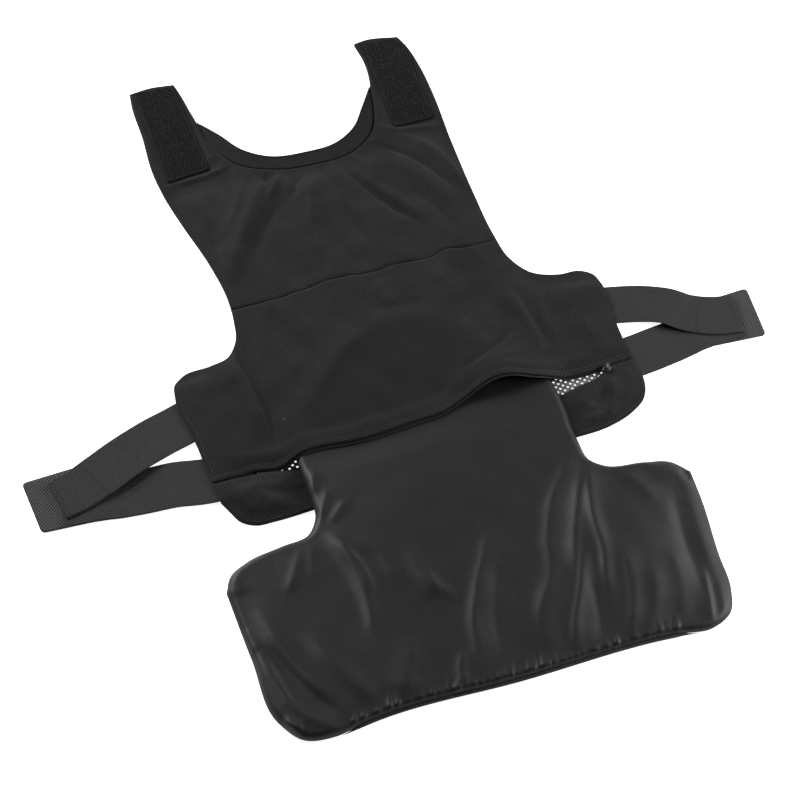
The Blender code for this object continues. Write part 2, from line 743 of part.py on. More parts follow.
def armour_pack(material):
    """The soft pack, thick in the middle, with an edge wall all round."""
    across = range(-200, 201, PACK_UNDER_STEP)
    flat = np.array([(x, y) for y in PACK_UNDER_ROWS for x in across], float)
    flat = flat[depth_inside(PACK_CURVE, *flat.T) > PACK_RIM_UNDER + CUT_CLEAR]
    under = np.concatenate([offset(PACK_CURVE, PACK_RIM_UNDER), flat])
    rims = [offset(PACK_CURVE, PACK_RIM_UNDER / 3), offset(PACK_CURVE, PACK_RIM_UNDER)]
    shown, hidden = lattice(PACK_CURVE), lattice(PACK_CURVE, HIDDEN_CELL)
    shown = shown[depth_inside(PACK_CURVE, *shown.T) > PACK_RIM_UNDER + CUT_CLEAR]
    hidden = hidden[depth_inside(PACK_CURVE, *hidden.T) > PACK_RIM_OVER]
    middle = (POCKET_DROP_Y + POCKET_FLOOR_Y) / 2
    over = np.concatenate([*rims, shown[shown[:, 1] < middle], hidden[hidden[:, 1] > middle]])
    sheet("armour_pack", [PACK_CURVE], pack_under, pack_over, material, under, over)


def pack_seam(material):
    """A rolled seam outside the bottom edge of the pack: a hexagon swept along the edge."""
    low_edge = (PACK_CURVE[:, 1] < SEAM_TOP_Y) & (PACK_CURVE[:, 0] > SEAM_LEFT_X)
    line = PACK_CURVE[low_edge & (PACK_CURVE[:, 0] < SEAM_RIGHT_X)]
    line = line[np.argsort(line[:, 0])]
    run = np.gradient(line, axis=0)
    out = np.stack([run[:, 1], -run[:, 0]], axis=1) / np.linalg.norm(run, axis=1)[:, None]
    middle, high = (SEAM_LOW + SEAM_HIGH) / 2, SEAM_HIGH
    section = [
        (GAP, middle),
        (GAP + SEAM_BEVEL, SEAM_LOW),
        (SEAM_WIDTH - SEAM_BEVEL, SEAM_LOW),
        (SEAM_WIDTH, middle),
        (SEAM_WIDTH - SEAM_BEVEL, high),
        (GAP + SEAM_BEVEL, high),
    ]
    sweep("pack_seam", line, out, section, material)


def sweep(name, line, side, section, material):
    """A section of (distance to the side, height) pairs, carried along a line in plan."""
    rings = []
    for spot, way in zip(line, side):
        rings.append([(*(spot + way * away), height) for away, height in section])
    link(name, rings, material)


def link(name, rings, material):
    """A closed body through rings of equally many points."""
    size = len(rings[0])
    faces = [tuple(range(size)), tuple(range((len(rings) - 1) * size, len(rings) * size))]
    for i in range(len(rings) - 1):
        for j in range(size):
            a, b = i * size + j, i * size + (j + 1) % size
            faces.append((a, b, b + size, a + size))
    finished(name, [point for ring in rings for point in ring], faces, material)


def elastic(name, rows, material):
    """A flat strap through the rows of its table."""
    line = flowing(rows, [False] * len(rows), EDGE_STEP * 1.5)
    run = np.gradient(line[:, :2], axis=0)
    side = np.stack([run[:, 1], -run[:, 0]], axis=1) / np.linalg.norm(run, axis=1)[:, None]
    rings = []
    for (x, y, low, width), way in zip(line, side):
        left, right = np.array([x, y]) - way * width / 2, np.array([x, y]) + way * width / 2
        high = low + ELASTIC_CLOTH
        rings.append([(*left, low), (*right, low), (*right, high), (*left, high)])
    link(name, rings, material)


def hook_tab(name, corners, material):
    """A flat tab on the floor, with the ends of the two straps of one side sewn down on it."""
    sheet(name, [rounded(corners, TAB_CORNER)], ground, raised(ground, TAB_CLOTH), material)


def loop_patch(name, corners, material):
    ring = rounded(corners, PATCH_CORNER)
    sheet(name, [ring], patch_under, raised(patch_under, LOOP_PILE), material)


def block(name, length, width, low, high, x, y, turn, material):
    """A small block with sloping sides, turned in plan about its middle."""
    c, s = math.cos(turn), math.sin(turn)
    rings = []
    for z, scale in ((low, 0.8), ((low + high) / 2, 1.0), (high, 0.75)):
        ring = []
        for u, v in ((-1, -0.6), (-0.6, -1), (0.6, -1), (1, -0.6), (1, 0.6), (0.6, 1), (-0.6, 1), (-1, 0.6)):
            a, b = u * scale * length / 2, v * scale * width / 2
            ring.append((x + a * c - b * s, y + a * s + b * c, z))
        rings.append(ring)
    link(name, rings, material)


def zip_slider(body, pull):
    low = SLIDER_Z - SLIDER_HEIGHT / 2
    block(
        "zip_slider", SLIDER_LENGTH, SLIDER_WIDTH, low, low + SLIDER_HEIGHT,
        SLIDER_X, SLIDER_Y, math.radians(SLIDER_TURN), body,
    )
    base = low + SLIDER_HEIGHT + GAP
    block(
        "zip_pull", PULL_LENGTH, PULL_WIDTH, base, base + PULL_HEIGHT,
        SLIDER_X + PULL_SHIFT_X, SLIDER_Y + PULL_SHIFT_Y, math.radians(PULL_TURN), pull,
    )


def main():
    clear_scene()
    knit = plain("knit", CLOTH_BLACK, 0.62)
    webbing = plain("elastic", ELASTIC_BLACK, 0.7)
    hooks = plain("hook", HOOK_GREY, 0.75)
    loops = plain("loop", LOOP_BLACK, 0.95)
    tape = plain("zip_tape", ZIP_BLACK, 0.6)
    back_net(plain("net", NET_BLACK, 0.8))
    neck_facing(plain("facing", FACING_BLACK, 0.7))
    elastic("elastic_left_lower", LEFT_LOWER_ELASTIC, webbing)
    elastic("elastic_left_upper", LEFT_UPPER_ELASTIC, webbing)
    elastic("elastic_right_lower", RIGHT_LOWER_ELASTIC, webbing)
    elastic("elastic_right_upper", RIGHT_UPPER_ELASTIC, webbing)
    hook_tab("hook_tab_left", LEFT_TAB, hooks)
    hook_tab("hook_tab_right", RIGHT_TAB, hooks)
    front_tail(knit)
    zip_tapes(tape)
    armour_pack(plain("pack_cover", PACK_GREY, 0.42))
    pack_seam(plain("pack_seam", SEAM_GREY, 0.5))
    front_cover(knit)
    front_yoke(knit)
    loop_patch("loop_patch_left", LEFT_PATCH, loops)
    loop_patch("loop_patch_right", RIGHT_PATCH, loops)
    zip_slider(plain("slider", SLIDER_BLACK, 0.4, 0.6), plain("pull", PULL_GREY, 0.35, 1.0))


if __name__ == "__main__":
    main()
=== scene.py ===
"""Looks of the soft body-armour vest: one half of it, laid flat with its armour pack half drawn out.

Tables and lengths are in millimetres, in the plan that the part's source uses, and placed() turns them
into metres in the shared frame. Every cloth is a closed shell: a square lattice cut to a plan outline,
once at the height of its underside and once at the height of its top. Straps, tapes, threads and
seams are profiles carried along paths.
"""

import math

import bpy
import numpy as np
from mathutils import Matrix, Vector


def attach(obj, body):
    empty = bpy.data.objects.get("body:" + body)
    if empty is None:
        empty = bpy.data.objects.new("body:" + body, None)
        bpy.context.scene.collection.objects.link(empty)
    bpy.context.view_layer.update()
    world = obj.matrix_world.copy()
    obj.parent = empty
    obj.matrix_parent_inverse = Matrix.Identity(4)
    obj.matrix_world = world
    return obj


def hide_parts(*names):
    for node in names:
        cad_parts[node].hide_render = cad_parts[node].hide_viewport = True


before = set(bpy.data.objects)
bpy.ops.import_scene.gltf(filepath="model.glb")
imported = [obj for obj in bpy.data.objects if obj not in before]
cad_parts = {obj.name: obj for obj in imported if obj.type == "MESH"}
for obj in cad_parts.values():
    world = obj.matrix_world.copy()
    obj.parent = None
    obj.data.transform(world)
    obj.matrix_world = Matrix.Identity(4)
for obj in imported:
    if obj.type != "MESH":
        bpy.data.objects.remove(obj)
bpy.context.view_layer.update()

MM = 0.001
TURN = 2 * math.pi
UP = np.array([0.0, 0.0, 1.0])
FAR = np.inf
CENTRE_X, CENTRE_Y = -7.5, 83.0
CHANCE = np.random.default_rng(7)

# Cloths, and the space between two that touch
NET_CLOTH, COVER_CLOTH, FACING_CLOTH = 1.2, 1.3, 1.0
TAPE_CLOTH, ELASTIC_CLOTH, TAB_CLOTH, PATCH_CLOTH = 0.8, 1.4, 1.4, 1.0
STRAP_DOUBLING, PACK_THICKNESS, GAP = 1.5, 8.0, 0.4

# Spacing of the lattices of the cloths, and of the points on curves
KNIT_PITCH, PACK_PITCH, SWELL_PITCH, NET_PITCH, TAPE_PITCH, PATCH_PITCH = 1.9, 1.8, 5.0, 3.2, 1.8, 2.0
CURVE_STEP, COARSE_STEP, FOLD_STEP, CUT_CLEAR = 3.0, 9.0, 7.0, 0.8
PATCH_CORNER, TAB_CORNER, ARC_POINTS = 4.0, 5.0, 6

# Cutting a lattice, in shares of its pitch: how far outside the outline a point is kept, and from how
# near one is moved onto it. Then the turn in radians that makes a corner, and the rounds of evening out
RIM_KEEP, RIM_MOVE, SHARP_TURN, EVEN_ROUNDS = 0.45, 1.6, 0.6, 6

# The shoulder straps slope up, and the knit is slack between its edges and less so over the pack
STRAP_BEND_START, STRAP_BEND_END, STRAP_SLOPE = 330.0, 350.0, 0.05
SLACK, SLACK_ON_PACK, SLACK_REACH, SLACK_STRAP_RAMP = 4.0, 1.2, 34.0, 40.0
KNIT_RIPPLE, FOLD_RIM, LIP_CALM, TAPE_CLEAR, TAPE_RAMP = 0.6, 9.0, 24.0, 3.0, 6.0
DRAPE_OUT, DRAPE_IN = 24.0, 12.0
LIP_RISE, LIP_RISE_X, LIP_RISE_SPAN, LIP_RISE_DEPTH = 14.0, 86.0, 34.0, 56.0

# Puckers of the chest seam: height, reach, waves. Then how deep and wide seams and hems are worked
CHEST_PUCKER, CHEST_REACH, CHEST_WAVE, CHEST_SWAY, CHEST_SWAY_WAVE = 0.45, 13.0, 4.3, 1.3, 19.0
SEAM_SUNK, SEAM_HALF = 0.8, 1.7
HEM_SUNK, HEM_HALF, HEM_LINE = 0.3, 1.6, 7.6
HEM_RISE, HEM_WIDE, HEM_RAMP = 0.45, 5.0, 2.6
TAIL_PUFF, TAIL_CREASE, TAIL_CLEAR, TAIL_RAMP = 2.2, 1.5, 4.0, 16.0

# The zip: how far its tapes show, its ends, and the room that the cloth over them makes
TAPE_SHOWS, TAPE_HIDDEN, UPPER_TAPE_DROP = 1.6, 5.5, 0.5
ZIP_LEFT_X, ZIP_RIGHT_X, ZIP_ROOM_REACH, ZIP_ROOM_RAMP = -172.0, 193.0, 26.0, 10.0
ZIP_END_REACH, ZIP_END_RAMP = 20.0, 16.0
SLIDER_X, SLIDER_Y, SLIDER_Z = 197.0, -30.5, 7.9

# Roots of the elastic straps, then what the pack climbs over and how its rim is shaped
ROOT_LIFT, ROOT_INNER_X, ROOT_OUTER_X = 2.3, 178.0, 198.0
ROOT_LOW_Y, ROOT_HIGH_Y, ROOT_RAMP = -76.0, 76.0, 14.0
HEM_CLIMB_Y, HEM_TOP_Y, POCKET_DROP_Y, POCKET_FLOOR_Y = -250.0, -106.0, -40.0, -14.0
PACK_RIM_WALL, PACK_RIM_LIFT, PACK_RIM_UNDER, PACK_RIM_OVER, PACK_RIM_POWER = 1.2, 2.4, 9.0, 6.0, 1.7
PACK_SEAM_START, PACK_SEAM_RAMP, PACK_SEAM_SHARPER = -308.0, 14.0, 2.6
PACK_RIGHT_X, PACK_RIGHT_RAMP, PACK_RIM_RIGHT = 186.0, 24.0, 8.0

# Folds: the share of a fold's width over which its flank falls away, the radius of its crest, which
# grows with that flank, and how fast it fades at its two ends: per share of its length, and from where
FLANK, CREST, CREST_GROWTH = 0.60, 0.8, 0.85
FADE_IN, FADE_IN_FROM, FADE_OUT, FADE_OUT_FROM = 2.6, 0.1, 3.0, 0.15

# Ripple of soft cloth. Columns: share, length per radian across and up, phase
RIPPLES = [(0.35, 5.4, 11.0, 0.7), (0.30, -14.0, 6.3, 2.1), (0.35, 9.7, 9.7, 4.0)]

# Gathers of the neckline, one value of each for every ridge: its place along the neck, then its reach,
# height, width and lean between these limits
GATHER_CREST, GATHER_START, GATHER_COUNT = 1.5, 6.0, 22
GATHER_LIMITS = [(20.0, 80.0), (-1.6, 2.8), (1.8, 3.6), (-0.12, 0.12)]
GATHERS = [np.linspace(0.16, 0.92, GATHER_COUNT) + CHANCE.uniform(-0.015, 0.015, GATHER_COUNT)]
GATHERS += [CHANCE.uniform(low, high, GATHER_COUNT) for low, high in GATHER_LIMITS]

# Puckers of the pack's bottom seam: where they are, how far they lean and spread, and for each its
# shift, reach, height and share of the lean between these limits
PUCKER_START, PUCKER_STEP, PUCKER_Y = -160.0, 6.8, -330.0
PUCKER_SLANT, PUCKER_WIDE, PUCKER_COUNT = 0.22, 2.1, 46
PUCKER_LIMITS = [(-3.0, 3.0), (7.0, 24.0), (0.3, 2.8), (0.2, 1.8)]
PUCKERS = [CHANCE.uniform(low, high, PUCKER_COUNT) for low, high in PUCKER_LIMITS]

# The pad blown up: highest rise, frames, pressure, and how far its held rim reaches
SWELL_CAP, SWELL_FRAMES, SWELL_PRESSURE, SWELL_RIM = 4.0, 20, 4.0, 1.0
POCKET_EDGE_Y, POCKET_EDGE_RAMP = -50.0, 26.0

# Net: staggered round holes, and the parts that the open zip shows as left, right, bottom, top
HOLE_WIDE, HOLE_PITCH_X, HOLE_PITCH_Y = 2.5, 7.8, 3.2
NET_WINDOWS = [(-156.0, -128.0, -54.0, -30.0), (134.0, 196.0, -52.0, -18.0)]

# Stitches: length, space between two, width and height
KNIT_STITCH, NECK_STITCH, LOOP_STITCH = (2.6, 0.9, 0.6, 0.5), (2.2, 0.8, 0.5, 0.4), (2.6, 0.9, 0.6, 0.9)
ELASTIC_STITCH, PACK_STITCH = (2.2, 0.8, 0.55, 0.5), (3.0, 0.8, 0.8, 0.6)

# Outlines. Columns: x, y, and 1 where the curve breaks at a corner
LEFT_EDGE = [
    (-126, -100, 1), (-170, -102, 0), (-188, -101, 0), (-202, -92, 0), (-208, -80, 0),
    (-214, -67, 1), (-217, -43, 0), (-221, 10, 0), (-228, 66, 0), (-224, 84, 0), (-213, 93, 0),
    (-184, 97, 0), (-165, 102, 0), (-153, 118, 0), (-147, 148, 0), (-146, 180, 0),
    (-152, 226, 0), (-168, 296, 0), (-176, 335, 0), (-181, 378, 0), (-180, 430, 0),
    (-181, 480, 0), (-179.5, 496, 1), (-155, 499, 0), (-128, 496.5, 1), (-125.5, 486, 0),
    (-120, 452, 0), (-116.5, 431, 1),
]
RIGHT_EDGE = [
    (86.5, 427, 1), (90, 446, 0), (91.5, 470, 0), (88, 499, 1), (102, 501.5, 0), (140, 496, 1),
    (144.5, 484, 0), (151, 444, 0), (152.5, 400, 0), (150, 330, 0), (148, 240, 0), (149, 178, 0),
    (154, 142, 0), (170, 116, 0), (196, 105, 0), (219, 103, 0), (231, 94, 0), (234, 76, 0),
    (229, 22, 0), (228, -32, 0), (229, -52, 0), (223, -70, 0), (203, -85, 0), (176, -94, 0),
    (133, -97, 1),
]
FRONT_NECK = [
    (-116.5, 431, 1), (-111, 397, 0), (-91, 361, 0), (-52, 341, 0), (-5, 335, 0), (38, 340, 0),
    (68, 362, 0), (82, 399, 0), (86.5, 427, 1),
]
BACK_NECK = [
    (-116, 434, 1), (-96, 408, 0), (-78, 381, 0), (-50, 362, 0), (-10, 357, 0), (24, 360, 0),
    (50, 376, 0), (68, 402, 0), (86, 431, 1),
]
CHEST_SEAM = [
    (-147, 162, 1), (-113, 159, 0), (-71, 162, 0), (-30, 168, 0), (8, 164, 0), (35, 167, 0),
    (68, 165, 0), (94, 171, 0), (116, 167, 0), (149.5, 171, 1),
]
LIP = [
    (-217, -44, 1), (-197, -44, 0), (-177, -42.5, 0), (-149, -47, 0), (-122, -42, 0),
    (-65, -45, 0), (-10, -41, 0), (20, -38, 0), (50, -27, 0), (70, -21, 0), (102, -20, 0),
    (124, -24.5, 0), (146, -27, 0), (170, -28, 0), (193, -26.8, 0), (228, -24, 1),
]
TAIL_TOP = [
    (-217, -45, 1), (-178, -45.5, 0), (-143, -51, 0), (-110, -55, 0), (60, -54, 0),
    (144, -46, 0), (168, -40, 0), (184, -37, 0), (192, -33, 0), (199, -28.5, 0), (228, -25, 1),
]
PACK_OUTLINE = [
    (-132, -30, 0), (-127, 0, 0), (-97, 30, 0), (-58, 70, 0), (-18, 92, 0), (18, 96, 0),
    (50, 84, 0), (84, 44, 0), (118, 14, 0), (135, -14, 0), (139, -50, 0), (137, -104, 0),
    (140, -130, 0), (151, -140, 0), (190, -148, 0), (214, -155, 0), (229, -171, 1),
    (227, -205, 0), (219, -262, 0), (214, -304, 0), (205, -324, 0), (182, -335, 0),
    (150, -331, 0), (0, -330, 0), (-150, -330, 0), (-178, -335, 0), (-205, -330, 0),
    (-222, -308, 0), (-229, -240, 0), (-234, -168, 1), (-226, -152, 0), (-208, -142, 0),
    (-172, -135, 0), (-144, -130, 0), (-134, -116, 0), (-132, -80, 0),
]

# Folds. Columns: height (below 0 for a furrow), width left of its line and right of it, its points
FRONT_FOLDS = [
    (6.0, 14, 14, (-67, 339), (-77, 315), (-95, 282), (-114, 247), (-132, 213), (-140, 191)),
    (3.4, 5, 4, (-46, 338), (-58, 314), (-71, 294)),
    (-2.6, 4, 4, (-60, 341), (-69, 318)),
    (-3.0, 8, 9, (-39, 299), (-68, 277), (-92, 244), (-115, 207)),
    (-2.6, 4, 4, (-23, 331), (-35, 309), (-46, 288)),
    (2.6, 8, 8, (-9, 327), (-26, 281), (-41, 231)),
    (-3.4, 6, 3.4, (8, 309), (9, 270), (12, 228), (16, 196)),
    (-2.0, 7, 7, (-20, 258), (-22, 225), (-22, 195)),
    (-4.4, 5, 4, (15, 331), (32, 295), (48, 261), (63, 236), (79, 212)),
    (-3.6, 5, 4, (61, 348), (82, 330), (102, 307), (119, 278), (136, 244)),
    (-3.0, 8, 7, (75, 274), (95, 246), (108, 215), (113, 180)),
    (3.4, 7, 7, (26, 318), (46, 281), (71, 244), (90, 207)),
    (3.6, 9, 9, (63, 328), (87, 295), (111, 256), (123, 220)),
    (3.8, 9, 9, (80, 356), (114, 330), (134, 291), (144, 252)),
    (2.6, 7, 7, (-93, 361), (-93, 327), (-111, 287), (-128, 258)),
    (2.8, 3.4, 3, (-88, 364), (-100, 359), (-118, 353), (-144, 350), (-171, 349)),
    (2.4, 3, 3.4, (77, 367), (99, 355), (127, 351), (146, 350)),
    (2.0, 3, 3, (-113, 428), (-108, 402), (-104, 376)),
    (-1.8, 6, 6, (-139, 289), (-139, 262), (-141, 235)),
    (-5.0, 7, 3, (-145, 144), (-150, 117), (-153, 86), (-149, 50), (-146, 10), (-146, -24)),
    (5.6, 4.5, 14, (-154, 124), (-159, 86), (-155, 50), (-151, 10), (-151, -20)),
    (2.4, 10, 9, (8, 110), (-29, 83), (-57, 66), (-75, 46), (-99, 18), (-112, 5)),
    (2.8, 16, 12, (5, 153), (11, 130), (11, 111)),
    (2.8, 14, 14, (79, 159), (74, 130), (82, 92)),
    (-2.0, 12, 10, (99, 153), (102, 109), (89, 71)),
    (4.6, 9, 14, (137, 98), (141, 66), (143, 39), (142, 17)),
    (-4.4, 8, 5, (144, 92), (148, 60), (151, 33), (150, 11)),
    (2.6, 7, 9, (134, 53), (115, 33), (88, 15), (60, 2), (35, -12)),
    (-3.4, 4, 4, (127, 51), (110, 37), (84, 21), (53, 6)),
    (1.8, 6, 6, (138, 33), (119, 17), (97, 8), (77, 2)),
    (1.6, 12, 12, (-112, 120), (-108, 70), (-112, 20)),
    (1.8, 9, 9, (162, 90), (160, 50), (164, 10)),
    (1.8, 10, 10, (58, 132), (67, 104), (78, 76)),
]
TAIL_FOLDS = [
    (3.0, 12, 12, (-196, -56), (-176, -72), (-152, -92)),
    (-0.8, 7, 7, (-180, -60), (-160, -74), (-140, -80)),
    (1.2, 10, 10, (-206, -66), (-176, -88)),
    (3.0, 8, 9, (197, -40), (192, -58), (180, -86)),
    (-1.8, 5, 6, (190, -44), (184, -62), (176, -76)),
    (2.0, 8, 8, (150, -82), (192, -86)),
    (1.4, 7, 7, (160, -56), (166, -76)),
    (-2.4, 7, 7, (-152, -60), (-142, -78), (-136, -94)),
]
PACK_FOLDS = [
    (3.4, 11, 6, (-134, -126), (-124, -149), (-116, -178), (-113, -206), (-114, -231),
     (-116, -249), (-109, -264)),
    (2.2, 5, 6, (-124, -133), (-114, -164), (-106, -189), (-105, -214)),
    (2.0, 7, 9, (-120, -133), (-109, -152), (-88, -168), (-81, -193), (-79, -218)),
    (1.8, 5, 5, (-124, -128), (-112, -118), (-99, -106)),
    (1.8, 4, 5, (-114, -88), (-122, -106), (-130, -120)),
    (1.8, 5, 5, (-122, -56), (-123, -72), (-131, -92)),
    (1.6, 6, 6, (-156, -142), (-168, -168), (-183, -190)),
    (1.2, 6, 6, (-144, -138), (-150, -164), (-154, -184)),
    (4.4, 5, 12, (-223, -216), (-218, -252), (-214, -272), (-205, -300), (-188, -319), (-164, -339)),
    (4.2, 12, 9, (-212, -180), (-204, -230), (-190, -270), (-172, -302), (-156, -326)),
    (3.8, 13, 10, (-178, -228), (-164, -262), (-148, -292), (-130, -318)),
    (-2.6, 8, 10, (-214, -226), (-200, -266), (-182, -298), (-164, -322)),
    (2.4, 9, 12, (-66, -176), (-52, -210), (-50, -236)),
    (1.8, 7, 9, (-70, -196), (-46, -222), (-30, -244)),
    (2.8, 12, 16, (-82, -262), (-100, -300), (-112, -322)),
    (3.4, 16, 7, (24, -166), (5, -205), (-12, -235), (-25, -264), (-32, -298), (-40, -327)),
    (-1.6, 8, 10, (22, -204), (6, -240), (-6, -274), (-14, -316)),
    (2.2, 9, 5, (-42, -288), (-52, -307), (-56, -328)),
    (4.6, 24, 9, (136, -88), (116, -132), (90, -164), (70, -204), (57, -246), (38, -273), (25, -322)),
    (-2.6, 8, 7, (132, -128), (112, -170), (92, -214), (82, -246)),
    (3.8, 10, 5, (137, -134), (126, -164), (119, -190), (114, -230), (106, -261), (102, -286)),
    (3.0, 9, 5, (100, -216), (80, -262), (60, -301), (53, -328)),
    (-1.4, 6, 6, (92, -250), (88, -290), (78, -322)),
    (3.2, 13, 7, (135, -220), (128, -264), (119, -297), (100, -328)),
    (2.0, 12, 7, (152, -250), (143, -292), (123, -328)),
    (1.6, 8, 8, (157, -146), (174, -172), (184, -196)),
    (1.4, 9, 9, (176, -240), (170, -290), (158, -326)),
    (4.0, 34, 54, (154, -168), (150, -240), (142, -312)),
    (-4.0, 16, 9, (211, -170), (198, -217), (193, -250), (191, -277), (188, -307), (183, -328)),
    (3.4, 3.0, 12, (198, -270), (192, -300), (182, -334)),
    (-2.2, 3.0, 4.0, (222, -166), (223, -174), (226, -180)),
    (0.9, 5, 7, (-223, -154), (-222, -165), (-221, -177)),
    (3.6, 4, 7, (-221, -309), (-212, -316), (-202, -325)),
    (1.4, 5, 7, (-229, -209), (-226, -223), (-224, -239)),
]

# Elastic straps. Columns: x, y, height of the underside, width
LEFT_UPPER_ELASTIC = [
    (-210, 41, 1.6, 51), (-228, 35, 1.6, 51), (-256, 25, 3.4, 51), (-290, 11, 5.0, 50),
    (-318, -2, 4.6, 50), (-343, -13, 3.8, 49), (-364, -18, 3.8, 48),
]
LEFT_LOWER_ELASTIC = [
    (-205, -39, 1.6, 53), (-222, -38, 1.6, 53), (-250, -33, 0.9, 53), (-286, -31, 0.4, 52),
    (-306, -29, 0.7, 52), (-319, -28, 1.8, 51), (-362, -25, 1.8, 49),
]
RIGHT_UPPER_ELASTIC = [
    (216, 52, 1.6, 49), (234, 49, 1.6, 49), (262, 40, 3.6, 49), (286, 27, 6.4, 48),
    (303, 15, 4.2, 49), (328, 3, 3.7, 50), (354, -2, 3.7, 49),
]
RIGHT_LOWER_ELASTIC = [
    (212, -23, 1.6, 51), (229, -21, 1.6, 51), (258, -17, 0.9, 51), (282, -13, 0.4, 50),
    (298, -10, 1.8, 50), (326, -7, 1.8, 50), (351, -5, 1.8, 49),
]
LEFT_TAB = [(-321, 18), (-322, -51), (-385, -48), (-393, 14)]
RIGHT_TAB = [(300, -31), (303, 24), (378, 29), (372, -35)]
LEFT_PATCH = [(-176.5, 495), (-129.5, 493.5), (-119, 359), (-168.5, 353)]
RIGHT_PATCH = [(94, 360), (95.5, 495.5), (138, 492.5), (143.5, 474), (142, 361)]


def ease(t):
    """0 up to t = 0, 1 from t = 1, and an S between."""
    t = np.clip(t, 0.0, 1.0)
    return t * t * (3.0 - 2.0 * t)


def flowing(knots, corner, step, closed=False):
    """Points about step apart on cubic arcs through the knots, which keep one slope at a round knot."""
    knots, corner = np.array(knots, float), np.array(corner, bool)
    before, after = np.roll(knots, 1, axis=0), np.roll(knots, -1, axis=0)
    if not closed:
        corner[[0, -1]] = True
    reach_in = np.linalg.norm((knots - before)[:, :2], axis=1)[:, None]
    reach_out = np.linalg.norm((after - knots)[:, :2], axis=1)[:, None]
    slope_in, slope_out = (knots - before) / reach_in, (after - knots) / reach_out
    tangent = (slope_in * reach_out + slope_out * reach_in) / (reach_in + reach_out)
    points = []
    for i in range(len(knots) if closed else len(knots) - 1):
        j = (i + 1) % len(knots)
        chord = knots[j] - knots[i]
        length = np.linalg.norm(chord[:2])
        leave = chord if corner[i] else tangent[i] * length
        arrive = chord if corner[j] else tangent[j] * length
        t = np.linspace(0.0, 1.0, max(1, round(length / step)) + 1)[:-1, None]
        points.append(
            (2 * t**3 - 3 * t**2 + 1) * knots[i]
            + (t**3 - 2 * t**2 + t) * leave
            + (3 * t**2 - 2 * t**3) * knots[j]
            + (t**3 - t**2) * arrive
        )
    if not closed:
        points.append(knots[-1:])
    return np.concatenate(points)


def outline(rows, step=CURVE_STEP, closed=False):
    """The flowing curve of a table of x, y and corner marks."""
    return flowing([row[:2] for row in rows], [row[2] for row in rows], step, closed)


def split(curve, y):
    """The parts of a curve before and after it passes y for the last time."""
    heights = curve[:, 1]
    i = np.flatnonzero((heights[:-1] - y) * (heights[1:] - y) <= 0)[-1]
    share = (y - heights[i]) / (heights[i + 1] - heights[i])
    cut = curve[i] + share * (curve[i + 1] - curve[i])
    clear = np.linalg.norm(curve - cut, axis=1) > CUT_CLEAR
    before, after = curve[: i + 1][clear[: i + 1]], curve[i + 1 :][clear[i + 1 :]]
    return np.concatenate([before, [cut]]), np.concatenate([[cut], after])


def rounded(corners, radius):
    """A closed outline through the corners, each cut back to an arc of about this radius."""
    spots = np.array(corners, float)
    t = np.linspace(0.0, 1.0, ARC_POINTS)[:, None]
    points = []
    for i, spot in enumerate(spots):
        back, ahead = spots[i - 1] - spot, spots[(i + 1) % len(spots)] - spot
        start = spot + back / np.linalg.norm(back) * radius
        end = spot + ahead / np.linalg.norm(ahead) * radius
        points.append((1 - t) ** 2 * start + 2 * t * (1 - t) * spot + t**2 * end)
    return np.concatenate(points)


def nearest(curve, x, y, closed=True, chunk=4096):
    """Per point: distance to the curve, share along it, -1 right of it or +1 left, and the spot on it."""
    x, y = np.ravel(x).astype(float), np.ravel(y).astype(float)
    start = curve if closed else curve[:-1]
    run = (np.roll(curve, -1, axis=0) if closed else curve[1:]) - start
    size = np.maximum((run**2).sum(axis=1), 1e-9)
    far, share, side = np.empty(len(x)), np.empty(len(x)), np.empty(len(x))
    spot = np.empty((len(x), 2))
    for first in range(0, len(x), chunk):
        part = slice(first, first + chunk)
        dx, dy = x[part, None] - start[:, 0], y[part, None] - start[:, 1]
        t = np.clip((dx * run[:, 0] + dy * run[:, 1]) / size, 0.0, 1.0)
        away = (dx - t * run[:, 0]) ** 2 + (dy - t * run[:, 1]) ** 2
        k = away.argmin(axis=1)
        row = np.arange(len(k))
        far[part] = np.sqrt(away[row, k])
        share[part] = (k + t[row, k]) / len(start)
        side[part] = np.sign(run[k, 0] * dy[row, k] - run[k, 1] * dx[row, k])
        spot[part] = start[k] + t[row, k, None] * run[k]
    return far, share, side, spot


def inside(curve, x, y):
    """True where an even-odd count says that a point lies in a closed outline."""
    x, y = np.ravel(x), np.ravel(y)
    after = np.roll(curve, -1, axis=0)
    found = np.zeros(len(x), bool)
    for (ax, ay), (bx, by) in zip(curve, after):
        if ay != by:
            found ^= ((ay > y) != (by > y)) & (x < ax + (bx - ax) * (y - ay) / (by - ay))
    return found


def depth_inside(curve, x, y):
    """Distance to a closed outline, positive inside it and negative outside."""
    far = nearest(curve, x, y)[0]
    return np.where(inside(curve, x, y), far, -far).reshape(np.shape(x))


def fold_lines(rows):
    """Each fold's height, its two widths and the flowing curve of its line."""
    return [(r[0], r[1], r[2], flowing(r[3:], [False] * (len(r) - 3), FOLD_STEP)) for r in rows]


def folds(rows, x, y):
    """Sum of ridges whose flanks fall off under a round crest, and which fade at both ends. Across a line
    the height goes as exp(-(hypot(d, r) - r) / w), w the side's flank and r its crest's radius."""
    height = np.zeros(np.shape(x))
    for rise, left, right, line in rows:
        far, share, side, _ = nearest(line, x, y, closed=False)
        wide = FLANK * np.where(side > 0, left, right)
        crest = CREST + CREST_GROWTH * wide
        bell = np.exp(-(np.hypot(far, crest) - crest) / wide)
        fade = ease(share * FADE_IN + FADE_IN_FROM) * ease((1.0 - share) * FADE_OUT + FADE_OUT_FROM)
        height += (rise * bell * fade).reshape(np.shape(x))
    return height


